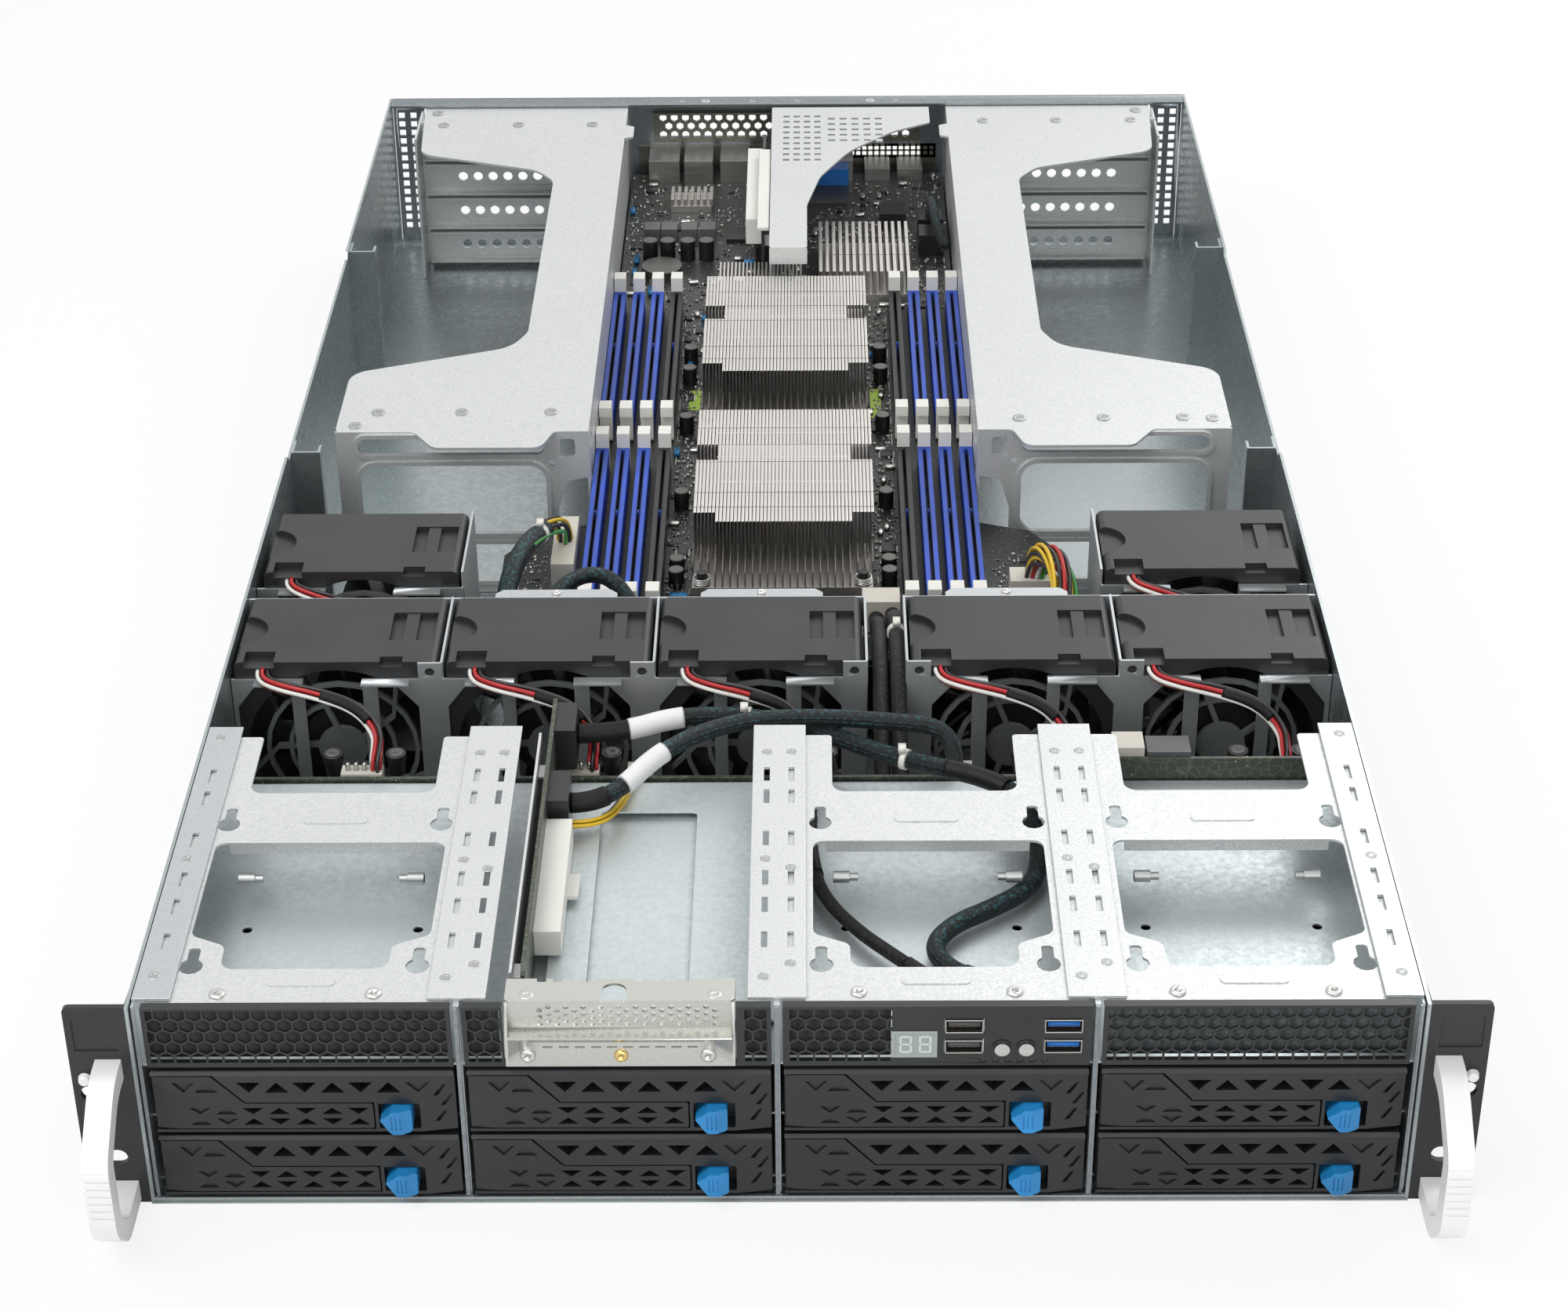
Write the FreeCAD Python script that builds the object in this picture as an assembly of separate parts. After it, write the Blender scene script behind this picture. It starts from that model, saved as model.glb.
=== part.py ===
import FreeCAD, Part
import math
import os
from FreeCAD import Vector

# A 2u rack server with its lid off: front drive cage, fan wall, main board, two card cages.
# X runs across, Y from the front face (Y = 0) to the rear, Z up from the underside. All in mm.

# Driving dimensions of the case
CASE_W = 440.0
CASE_D = 800.0
CASE_H = 87.0
SHEET = 1.2
THIN = 1.0
CLEAR = 0.3
HANDLE_REACH = 36.0
ORIGIN_Y = (CASE_D - HANDLE_REACH) / 2.0

# Rack ears and handles
EAR_REACH = 21.3
HOLE_INSET = 8.75
RACK_W = CASE_W + 2 * EAR_REACH
RACK_HOLE_PITCH = RACK_W - 2 * HOLE_INSET
RACK_HOLE_Z = (21.3, 49.875)
RACK_SLOT_L = 13.0
RACK_SLOT_R = 3.3
EAR_T = 2.2
EAR_FLANGE_D = 55.0
HANDLE_T = 8.4
HANDLE_W = 9.0
HANDLE_TOP = 65.0

# Drive bays
COLUMNS = 4
BAY_PITCH = (CASE_W - 6.4) / COLUMNS
TRAY_GAP = 4.4
TRAY_W = BAY_PITCH - TRAY_GAP
TRAY_H = 26.3
TRAY_D = 166.0
ROW_Z = (4.0, 32.5)
BEZEL_T = 6.0
LEVER_T = 4.4
HINGE_R = 2.2
PIN_R = 1.0
PIN_CLEAR = 0.06
LATCH_TRAVEL = 2.3
RECESS = 0.8
FACET_D = 1.9
CAGE_D = 171.0
SHELF_Z = 59.5
PANEL_Z = 61.2
RAIL_W = 9.9
TIP_GAP = 28.0
PLATE_Z = 62.6

# Vent pattern
HEX_PITCH = 5.5
HEX_WEB = 0.75
HEX_LEAST = 2.0
VENT_PITCH = 5.1
VENT_HOLE = 3.4

# Fans
FANS = 5
CABLE_GAP = 16.0
FAN_Y = 218.6
FAN_D = 48.6
FAN_Z = 3.0
FAN_TOP = 86.0
FAN_GAP = 1.6
BORE_R = 37.6
HUB_R = 16.5
BLADES = 7
SHAFT_R = 2.0
MOTOR_SETBACK = 6.0
SHAFT_SETBACK = 16.0
GUARD_T = 2.0
REAR_FAN_Y = 288.5
LIP_D = 4.5
LIP_DROP = 7.4

# Main board
BOARD_EAR = 124.0
BOARD_Y = 284.0
PSU_W = 73.5
PSU_H = 39.2
PSU_D = 185.0
PSU_GAP = 3.0
PSU_Z = SHEET + CLEAR
CARRIER_Z = PSU_Z + PSU_H + CLEAR
BOARD_Z = CARRIER_Z + THIN + 1.0
BOARD_T = 1.6
BOARD_TOP = BOARD_Z + BOARD_T
BOARD_REAR_GAP = 8.0
SLOT_W = 6.0
SLOT_H = 13.0
SLOT_L = 132.0
SLOT_PITCH = 9.6
SLOT_FIRST = 55.2
SLOTS = 4
BANK_Y = (381.4, 547.3)
LATCH_T = 4.8
LATCH_H = 17.5
SINK_W = 78.0
SINK_L = 104.0
SINK_Y = (402.0, 545.0)
SINK_TOP = 74.0
SINK_STEP = 25.0
SINK_FINS = 26

# Card cages
CAGE_IN = 87.4
CAGE_OUT_GAP = 18.6
CAGE_Y = 412.0
CAGE_TOP = 85.4
CARD_PITCH = 20.32
CARDS = 4
CARD_FLOOR = 3.2
BRACKET_SETBACK = 32.0
LOW_SLOTS = ((-74.0, -5.0), (5.0, 74.0))
LOW_SLOT_Z = 61.0

HALF = CASE_W / 2.0
WALL = HALF - SHEET
CAGE_OUT = HALF - CAGE_OUT_GAP
FAN_PITCH = (2 * WALL - CABLE_GAP) / FANS


def lift(plane, a, b, c):
    """The 3-D point at a, b in a plane, at height c along the plane's normal."""
    if plane == "Z":
        return Vector(a, b, c)
    if plane == "Y":
        return Vector(a, c, b)
    return Vector(c, a, b)


def normal(plane):
    """The unit vector that a plane's heights run along."""
    return {"X": Vector(1, 0, 0), "Y": Vector(0, 1, 0), "Z": Vector(0, 0, 1)}[plane]


def box(x0, x1, y0, y1, z0, z1):
    """A block between two corners."""
    return Part.makeBox(x1 - x0, y1 - y0, z1 - z0, Vector(x0, y0, z0))


def rod(plane, a, b, c0, c1, radius):
    """A cylinder along a plane's normal, from c0 to c1."""
    return Part.makeCylinder(radius, c1 - c0, lift(plane, a, b, c0), normal(plane))


def outline(plane, points, c, radii=0.0):
    """A closed wire through in-plane points, with each corner rounded to its radius."""
    count = len(points)
    if not isinstance(radii, (list, tuple)):
        radii = [radii] * count
    corners = []
    for i, point in enumerate(points):
        here = Vector(point[0], point[1], 0)
        before = Vector(*points[i - 1], 0) - here
        after = Vector(*points[(i + 1) % count], 0) - here
        if radii[i] <= 0:
            corners.append((here, None, here))
            continue
        half = before.getAngle(after) / 2.0
        before.normalize()
        after.normalize()
        reach = radii[i] / math.tan(half)
        inward = before + after
        inward.normalize()
        middle = here + inward * (radii[i] / math.sin(half) - radii[i])
        corners.append((here + before * reach, middle, here + after * reach))
    edges = []
    for i, (start, middle, end) in enumerate(corners):
        if middle is not None:
            arc = [lift(plane, p.x, p.y, c) for p in (start, middle, end)]
            edges.append(Part.Arc(*arc).toShape())
        following = corners[(i + 1) % count][0]
        if end.distanceToPoint(following) > 1e-6:
            line = [lift(plane, p.x, p.y, c) for p in (end, following)]
            edges.append(Part.LineSegment(*line).toShape())
    return Part.Wire(edges)


def ring(plane, a, b, c, radius):
    """A circular wire."""
    return Part.Wire([Part.makeCircle(radius, lift(plane, a, b, c), normal(plane))])


def frame(plane, a0, a1, b0, b1, c, radius=0.0):
    """A rectangular wire, with rounded corners if a radius is given."""
    return outline(plane, [(a0, b0), (a1, b0), (a1, b1), (a0, b1)], c, radius)


def plate(plane, c0, c1, outer, holes=()):
    """A flat plate from an outer wire and hole wires that lie at c0."""
    face = Part.makeFace([outer] + list(holes), "Part::FaceMakerBullseye")
    return face.extrude(normal(plane) * (c1 - c0))


def slab(plane, points, c0, c1, radii=0.0, holes=()):
    """A plate given by the points of its outline."""
    return plate(plane, c0, c1, outline(plane, points, c0, radii), holes)


def union(shapes):
    """One solid from pieces that touch or overlap."""
    return shapes[0].multiFuse(shapes[1:]).removeSplitter()


def mirrored(shape):
    """The same piece on the other side of the middle plane."""
    return shape.mirror(Vector(0, 0, 0), Vector(1, 0, 0))


def both_sides(shape):
    """A piece and its mirror image."""
    return [shape, mirrored(shape)]


def export(name, solids):
    """Write one node: a single solid, or several separate ones."""
    solids = [piece for shape in solids for piece in shape.Solids]
    shape = solids[0] if len(solids) == 1 else Part.makeCompound(solids)
    shape.translate(Vector(0, -ORIGIN_Y, 0))
    shape.exportStep("parts/" + name + ".step")


def ngon_points(a, b, radius, sides):
    """Corners of a regular polygon, one pointing along the second axis."""
    turns = [2 * math.pi * k / sides + math.pi / 2 for k in range(sides)]
    return [(a + radius * math.cos(turn), b + radius * math.sin(turn)) for turn in turns]


def ngon(plane, a, b, c, radius, sides=6):
    """A regular polygonal wire."""
    return outline(plane, ngon_points(a, b, radius, sides), c)


def triangle(plane, a, b, width, height, up, c):
    """A triangular wire centred on a, b, pointing up or down."""
    base = b - height / 2.0 if up else b + height / 2.0
    tip = b + height / 2.0 if up else b - height / 2.0
    return outline(plane, [(a - width / 2.0, base), (a + width / 2.0, base), (a, tip)], c)


def clipped(points, a0, a1, b0, b1):
    """The part of a convex outline inside a rectangle."""
    for axis, limit, keep in ((0, a0, 1), (0, a1, -1), (1, b0, 1), (1, b1, -1)):
        kept = []
        for i, end in enumerate(points):
            start = points[i - 1]
            start_in = (start[axis] - limit) * keep >= 0
            end_in = (end[axis] - limit) * keep >= 0
            if start_in != end_in:
                share = (limit - start[axis]) / (end[axis] - start[axis])
                kept.append(tuple(p + (q - p) * share for p, q in zip(start, end)))
            if end_in:
                kept.append(end)
        points = kept
    return points


def area(points):
    """Area of a polygon."""
    total = 0.0
    for i, (a, b) in enumerate(points):
        total += points[i - 1][0] * b - a * points[i - 1][1]
    return abs(total) / 2.0


def hexagons(plane, a0, a1, b0, b1, c):
    """Point-up hexagonal hole wires in staggered rows, trimmed by a rectangle."""
    radius = (HEX_PITCH - HEX_WEB) / math.sqrt(3.0)
    row_pitch = HEX_PITCH * math.sqrt(3.0) / 2.0
    row_reach = int((b1 - b0) / 2.0 / row_pitch) + 1
    middle = (b0 + b1) / 2.0
    wires = []
    for row in range(-row_reach, row_reach + 1):
        first = a0 + (HEX_PITCH / 2.0 if row % 2 else 0.0)
        for column in range(int((a1 - first) / HEX_PITCH) + 2):
            centre = first + column * HEX_PITCH
            corners = clipped(ngon_points(centre, middle + row * row_pitch, radius, 6), a0, a1, b0, b1)
            if len(corners) > 2 and area(corners) > HEX_LEAST:
                wires.append(outline(plane, corners, c))
    return wires


def grid(plane, a0, b0, columns, rows, a_pitch, b_pitch, a_size, b_size, c):
    """Rectangular hole wires in a regular grid, the first centred on a0, b0."""
    wires = []
    for i in range(columns):
        for j in range(rows):
            a = a0 + i * a_pitch
            b = b0 + j * b_pitch
            wires.append(frame(plane, a - a_size / 2, a + a_size / 2, b - b_size / 2, b + b_size / 2, c))
    return wires


# ---------------------------------------------------------------- case

def bay_centre(column):
    """X of the middle of a drive column."""
    return (column - (COLUMNS - 1) / 2.0) * BAY_PITCH


def divider_x(index):
    """X of the divider to the right of a drive column."""
    return (index - COLUMNS / 2.0 + 1) * BAY_PITCH


def base_pan():
    """Floor, side walls with rear perforations, the front lip and the two pairs of wall posts."""
    floor = box(-HALF, HALF, 0, CASE_D, 0, SHEET)
    lip = box(-WALL, WALL, 0, SHEET, SHEET, 2.8)
    lip_start = PSU_GAP / 2.0 + PSU_W + 3.0
    rear_lip = box(lip_start, WALL, CASE_D - SHEET - 5.0, CASE_D - SHEET - CLEAR, SHEET, 2.6)
    top = CASE_H
    profile = [(0, SHEET), (CASE_D, SHEET), (CASE_D, top), (CASE_D - 200, top), (CASE_D - 203, top - 3),
               (FAN_Y + FAN_D + 122, top - 3), (FAN_Y + FAN_D + 119, top), (0, top)]
    holes = grid("X", CASE_D - 38.0, 11.0, 4, 11, VENT_PITCH, VENT_PITCH, VENT_HOLE, VENT_HOLE, WALL)
    wall = slab("X", profile, WALL, HALF, 0.0, holes)
    pieces = [floor, lip] + both_sides(rear_lip) + both_sides(wall)
    for y in (CAGE_Y - 18.0, CASE_D - 196.0):
        inner = WALL - 13.0
        post = slab("Z", [(WALL, y), (inner, y), (inner, y + 7), (inner + SHEET, y + 7),
                          (inner + SHEET, y + SHEET), (WALL - SHEET, y + SHEET),
                          (WALL - SHEET, y + 11), (WALL, y + 11)], SHEET, CASE_H - 2.0)
        pieces += both_sides(post)
    return pieces


def rear_panel():
    """Rear wall with the card windows, the port window and square perforations at its ends."""
    y = CASE_D - SHEET
    window = frame("Y", CAGE_IN + 1.0, CAGE_OUT, 6.0, CASE_H - 5.0, y, 2.0)
    other = frame("Y", -CAGE_OUT, -CAGE_IN - 1.0, 6.0, CASE_H - 5.0, y, 2.0)
    modules = PSU_GAP / 2.0 + PSU_W + CLEAR
    power = frame("Y", -modules, modules, PSU_Z - 0.1, PSU_Z + PSU_H + 0.2, y)
    ports = frame("Y", -82.0, 82.0, BOARD_TOP + 0.6, BOARD_TOP + 13.6, y)
    holes = [window, other, power, ports]
    for x0, x1 in LOW_SLOTS:
        holes.append(frame("Y", x0 + 3, x1 - 3, LOW_SLOT_Z + 3.0, LOW_SLOT_Z + 16.0, y))
    for side in (-1, 1):
        for inset in (4.7, 11.2):
            holes += grid("Y", side * (WALL - inset), 11.0, 1, 14, VENT_PITCH, VENT_PITCH,
                          VENT_HOLE, VENT_HOLE, y)
    wall = plate("Y", y, CASE_D, frame("Y", -WALL + CLEAR, WALL - CLEAR, SHEET, CASE_H, y), holes)
    flange = box(-WALL + CLEAR, WALL - CLEAR, y - 10.0, y, CASE_H - SHEET, CASE_H)
    return [wall, flange]


def cage_rail(left, right, slot_lines):
    """Slotted top flange of a drive cage divider."""
    slots = []
    for x in slot_lines:
        for y in (37.0, 57.0, 73.0, 97.0, 123.5, 138.0):
            slots.append(frame("Z", x - 1.1, x + 1.1, y - 4.5, y + 4.5, CASE_H - SHEET))
    return plate("Z", CASE_H - SHEET, CASE_H, frame("Z", left, right, 5.0, CAGE_D, CASE_H - SHEET), slots)


def bay_shelf(column, left, right):
    """Floor of one upper bay, between two dividers."""
    x = bay_centre(column)
    holes = [] if column == 1 else [ring("Z", x + dx, 78.0, SHELF_Z, 1.8) for dx in (-30.0, 32.0)]
    return plate("Z", SHELF_Z, SHELF_Z + THIN, frame("Z", left, right, 3.0, CAGE_D, SHELF_Z), holes)


def drive_cage():
    """Side sheets, three dividers with slotted rails, runner ledges and the floors of the upper bays."""
    edge = WALL - CLEAR
    walls = [(-edge, -edge + THIN)]
    walls += [(divider_x(i) - THIN, divider_x(i) + THIN) for i in range(COLUMNS - 1)]
    walls.append((edge - THIN, edge))
    pieces = []
    for index, (left, right) in enumerate(walls):
        pieces.append(box(left, right, 2.0, CAGE_D, SHEET, CASE_H - SHEET))
        x = divider_x(index - 1)
        lines = []
        rail = [left, right]
        if index > 0:
            lines.append(x - 4.6)
            rail[0] = x - RAIL_W - (1.4 if index == COLUMNS else 0.0)
        if index < COLUMNS:
            lines.append(x + 4.6)
            rail[1] = x + RAIL_W + (1.4 if index == 0 else 0.0)
        pieces.append(cage_rail(rail[0], rail[1], lines))
        reach = TRAY_GAP / 2.0 + 1.8
        for z in ROW_Z:
            if index > 0:
                pieces.append(box(x - reach, left, 10.0, TRAY_D, z - 1.1, z + 0.2 - CLEAR))
            if index < COLUMNS:
                pieces.append(box(right, x + reach, 10.0, TRAY_D, z - 1.1, z + 0.2 - CLEAR))
    for column in range(COLUMNS):
        pieces.append(bay_shelf(column, walls[column][1], walls[column + 1][0]))
    return pieces + riser_plate(bay_centre(1))


def riser_plate(x):
    """Raised plate of the second upper bay, open over most of its length."""
    left, right = x - 27.8, divider_x(1) - THIN
    window = frame("Z", x - 13.5, x + 22.8, 30.0, 147.0, PLATE_Z, 2.0)
    deck = plate("Z", PLATE_Z, PLATE_Z + THIN, frame("Z", left, right, 22.0, 166.0, PLATE_Z), [window])
    return [deck, box(left, left + THIN, 22.0, 166.0, SHELF_Z + THIN, PLATE_Z)]


def keyhole(a, b, c):
    """Keyhole wire: a round hole with a narrow slot towards the rear."""
    corners = []
    for k in range(11):
        turn = math.radians(120 + 30 * k)
        corners.append((a + 4.2 * math.cos(turn), b + 4.2 * math.sin(turn)))
    return outline("Z", corners + [(a + 2.1, b + 9.4), (a + 1.2, b + 10.2), (a - 1.2, b + 10.2),
                                   (a - 2.1, b + 9.4)], c)


def bay_covers():
    """Windowed covers of upper bays 1, 3 and 4, with keyholes and a folded window edge."""
    covers = []
    top = CASE_H - SHEET - CLEAR
    low = top - THIN
    half = BAY_PITCH / 2.0 - TRAY_GAP / 2.0 - 1.0
    for column in (0, 2, 3):
        x = bay_centre(column)
        prong = half - 16.6
        body = [(x - half, 4.0), (x + half, 4.0), (x + half, 166.0), (x + prong, 166.0), (x + prong, 128.5),
                (x - prong, 128.5), (x - prong, 166.0), (x - half, 166.0)]
        radii = [0, 0, 0, 1.5, 5.0, 5.0, 1.5, 0]
        window = [(x - 29.0, 23.0), (x + 29.0, 23.0), (x + 29.0, 36.0), (x + 41.8, 42.0),
                  (x + 41.8, 97.0), (x - 41.8, 97.0), (x - 41.8, 42.0), (x - 29.0, 36.0)]
        holes = [outline("Z", window, low, [5, 5, 4, 4, 4, 4, 4, 4])]
        for side in (-1, 1):
            for y in (24.5, 108.5):
                holes.append(keyhole(x + side * 39.0, y, low))
        cover = slab("Z", body, low, top, radii, holes)
        fold = box(x - 37.0, x + 37.0, 97.2, 98.2, top - 5.0, low)
        front = box(x - half, x + half, 4.0, 5.0, low - 2.8, low)
        bars = []
        for y in (15.7, 111.0):
            bars.append(slab("Z", [(x - 11.7, y - 2.4), (x + 11.7, y - 2.4), (x + 11.7, y + 2.4),
                                   (x - 11.7, y + 2.4)], top, top + 0.5, 2.0))
        covers += [cover, fold, front] + bars
    return covers


# ---------------------------------------------------------------- front face

def tray_origin(column, row):
    """X and Z of the lower left corner of a tray's face."""
    return bay_centre(column) - TRAY_W / 2.0, ROW_Z[row]


def tray(column, row):
    """Drive tray: bezel with triangular vents, latch pocket, hinge pin, floor and side rails."""
    x, z = tray_origin(column, row)
    low, high = z + 0.2, z + TRAY_H - 0.2
    right = x + TRAY_W
    tip = right - TIP_GAP
    cavity = [(x - 1, z + 1.3), (tip, z + 1.3), (tip, z + 13.2), (x + 31.8, z + 13.2), (x + 21.3, z + 25.0),
              (x - 1, z + 25.0)]
    pocket = frame("Y", tip + 1.2, right - 12.4, z + 1.6, z + 12.6, 0, 0.6)
    vents = []
    for k in range(6):
        vents.append(triangle("Y", x + 33.4 + 9.6 * k, z + 19.8, 8.4, 4.5, k % 2 == 1, 0))
    face = plate("Y", 0, BEZEL_T, frame("Y", x, right, low, high, 0, 0.5), [pocket] + vents)
    cuts = [slab("Y", cavity, -1, BEZEL_T + 1), edge_bevel(x, right, high)]
    cuts.append(plate("Y", -1, RECESS, triangle("Y", x + 91.4, z + 19.8, 8.4, 4.5, False, -1)))
    cuts.append(end_facet(right, low, z + 14.0, z + 24.5))
    for dx, dz in ((7.6, 15.6), (5.4, 11.0), (7.6, 4.2)):
        a, b = right - dx, z + dz
        cuts.append(slab("Y", [(a, b), (a + 1.6, b), (a + 4.4, b + 4.4), (a + 3.2, b + 4.6)], -1, 2.4))
    face = face.cut(cuts)
    pin = rod("Z", x + HINGE_R, HINGE_R, z + 0.6, z + TRAY_H - 0.8, PIN_R)
    wall = plate("Y", BEZEL_T, BEZEL_T + THIN, frame("Y", x, right, low, high, BEZEL_T))
    windows = [frame("Z", x + 20, right - 20, 26, 86, low, 3.0),
               frame("Z", x + 20, right - 20, 96, TRAY_D - 12, low, 3.0)]
    back = BEZEL_T + THIN
    side = 0.6 + THIN
    floor = plate("Z", low, low + THIN, frame("Z", x + side, right - side, back, TRAY_D, low), windows)
    rails = []
    for a in (x + 0.6, right - side):
        rails.append(slab("X", [(back, low), (TRAY_D, low), (TRAY_D, low + 9), (back + 12, low + 13),
                                (back, low + 20)], a, a + THIN))
    return [union([face, wall, pin]), floor] + rails


def edge_bevel(x0, x1, high):
    """Cutter that bevels the upper front edge of a bezel."""
    return slab("X", [(-1, high - 2.2), (2.2, high + 1), (-1, high + 1)], x0 - 1, x1 + 1)


def end_facet(right, low, z_near, z_far):
    """Cutter for the sloping facet at a bezel's right end, below a diagonal."""
    wedge = slab("Z", [(right - 12.0, 0), (right + 1, FACET_D), (right + 1, -1), (right - 12.0, -1)],
                 low - 1, z_far + 2)
    bound = [(right - 12.0, low - 1), (right + 1, low - 1), (right + 1, z_far + 0.9), (right - 12.0, z_near)]
    return wedge.common(slab("Y", bound, -2, BEZEL_T))


def lever(column, row):
    """Release lever of a tray: a pierced bar hinged on a pin at its left end."""
    x, z = tray_origin(column, row)
    low, high = z + 1.3 + 0.4, z + 25.0 - 0.4
    tip = x + TRAY_W - TIP_GAP - 0.5
    body = [(x + HINGE_R, low), (tip, low), (tip, z + 12.7), (x + 31.4, z + 12.7),
            (x + 20.6, high), (x + HINGE_R, high)]
    vents = []
    cuts = [rod("Z", x + HINGE_R, HINGE_R, low - 1, high + 1, PIN_R + PIN_CLEAR)]
    for k in range(-2, 5):
        for row_z, up in ((z + 9.4, k % 2 == 1), (z + 4.75, k % 2 == 0)):
            mark = triangle("Y", x + 34.0 + 9.1 * k, row_z, 7.4, 2.8, up, 0 if k >= 0 else -1)
            if k >= 0:
                vents.append(mark)
            else:
                cuts.append(plate("Y", -1, RECESS, mark))
    for dx, up in ((10.9, False), (18.7, True)):
        cuts.append(plate("Y", -1, RECESS, triangle("Y", x + dx, z + 19.8, 7.8, 4.4, up, -1)))
    wedge = slab("Z", [(x + 8.9, 0), (x - 1, 0.9), (x - 1, -1), (x + 8.9, -1)], low - 1, high + 1)
    cuts.append(wedge.common(slab("Y", [(x - 2, low - 1), (x + 8.9, low - 1), (x + 8.9, z + 13.8),
                                        (x - 2, z + 27.5)], -2, 2)))
    bar = plate("Y", 0, LEVER_T, outline("Y", body, 0, [0, 1, 1, 0, 0, 0]), vents)
    knuckle = rod("Z", x + HINGE_R, HINGE_R, low, high, HINGE_R)
    return union([bar, knuckle]).cut(cuts)


def latch(column, row):
    """Sliding release catch in a tray's pocket, a five-sided ribbed button."""
    x, z = tray_origin(column, row)
    left = x + TRAY_W - TIP_GAP + 1.2 + 0.4
    right = x + TRAY_W - 12.4 - 0.4 - LATCH_TRAVEL
    low, high = z + 2.2, z + 12.0
    button = slab("Y", [(left, (low + high) / 2), (left + 4.6, low), (right, low), (right, high),
                        (left + 4.6, high)], -4.2, BEZEL_T - CLEAR, [0.8, 1, 1, 1, 1])
    cuts = [slab("Z", [(right - 4.0, -4.3), (right + 1, -4.3), (right + 1, -1.8)], low - 1, high + 1),
            slab("Z", [(left - 1, -1.8), (left - 1, -4.3), (left + 3.6, -4.3)], low - 1, high + 1)]
    for k in range(3):
        a = left + 4.2 + 1.5 * k
        cuts.append(box(a, a + 0.5, -4.6, -3.8, low + 2, high - 2))
    return button.cut(cuts)


def vent_panel(column):
    """Hexagonally perforated front panel of an upper bay."""
    x = bay_centre(column)
    half = TRAY_W / 2.0 + 0.3
    holes = hexagons("Y", x - half + 1.6, x + half - 1.6, PANEL_Z + 2.0, CASE_H - 1.6, 0)
    return panel_shell(x, half, holes)


def panel_shell(x, half, holes):
    """Front plate of an upper bay with folded edges on all four sides."""
    face = plate("Y", 0, THIN, frame("Y", x - half, x + half, PANEL_Z, CASE_H - 0.4, 0), holes)
    low = box(x - half, x + half, THIN, 3.4, PANEL_Z, PANEL_Z + THIN)
    top = box(x - half, x + half, THIN, 3.4, CASE_H - 0.4 - THIN, CASE_H - 0.4)
    return union([face, low, top])


def slot_panel():
    """Front panel of the second upper bay, cut out for an expansion bracket."""
    x = bay_centre(1)
    half = TRAY_W / 2.0 + 0.3
    low, high = PANEL_Z + 2.0, CASE_H - 1.6
    holes = hexagons("Y", x - half + 1.6, x - half + 13.0, low, high, 0)
    holes += hexagons("Y", x + half - 9.0, x + half - 1.6, low, high, 0)
    shell = panel_shell(x, half, holes)
    return shell.cut(box(x - 38.6, x + 40.4, -1, 5, PANEL_Z + 1.2, CASE_H))


def control_panel():
    """Front panel with vents, a two-digit display window, four ports, two buttons and six lamps."""
    x = bay_centre(2)
    half = TRAY_W / 2.0 + 0.3
    left = x - half
    holes = hexagons("Y", left + 2.4, left + 37.0, PANEL_Z + 2.0, CASE_H - 1.6, 0)
    for port_x in (left + 61.4, left + 95.0):
        for port_z in (69.6, 78.3):
            holes.append(frame("Y", port_x - 6.8, port_x + 6.8, port_z - 3.1, port_z + 3.1, 0))
    for button_x in (left + 74.4, left + 82.6):
        holes.append(ring("Y", button_x, 68.7, 0, 2.9))
    for k in range(6):
        holes.append(ring("Y", left + 68.2 + 4.15 * k, 63.4, 0, 1.1))
    shell = panel_shell(x, half, holes)
    glass = box(left + 36.8, left + 52.4, -0.4, 0, 65.0, 76.2)
    glass = glass.cut(box(left + 38.0, left + 51.2, -0.5, -0.2, 66.2, 75.0))
    return [shell, glass]


def button(offset):
    """Round push button standing out of the control panel, with a flange behind it."""
    x = bay_centre(2) - TRAY_W / 2.0 - 0.3 + offset
    cap = rod("Y", x, 68.7, -1.2, 3.6, 2.6)
    flange = rod("Y", x, 68.7, 1.9, 3.2, 3.6)
    return union([cap, flange])


def port_shells():
    """Metal shells of the front ports, and of the ports on the rear edge of the board."""
    shells = []
    left = bay_centre(2) - TRAY_W / 2.0 - 0.3
    for port_x in (left + 61.4, left + 95.0):
        for port_z in (69.6, 78.3):
            shell = box(port_x - 6.5, port_x + 6.5, -0.6, 15.0, port_z - 2.8, port_z + 2.8)
            shell = shell.cut(box(port_x - 6.0, port_x + 6.0, -1.0, 12.0, port_z - 2.3, port_z + 2.3))
            tongue = box(port_x - 5.2, port_x + 5.2, 0.6, 12.5, port_z - 0.2, port_z + 1.7)
            shells.append(union([shell, tongue]))
    rear = CASE_D - SHEET - CLEAR
    for x, width, height, depth in ((-68, 17, 13.2, 20), (-49, 16, 13.2, 20), (-29, 16, 13.2, 20),
                                    (21, 31, 12, 18), (50, 14, 7, 18), (68, 14, 7, 18)):
        shell = box(x - width / 2, x + width / 2, rear - depth, rear, BOARD_TOP, BOARD_TOP + height)
        mouth = box(x - width / 2 + 1.2, x + width / 2 - 1.2, rear - depth + 4, rear + 1,
                    BOARD_TOP + 1.2, BOARD_TOP + height - 1.2)
        shells.append(shell.cut(mouth))
    return shells


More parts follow.
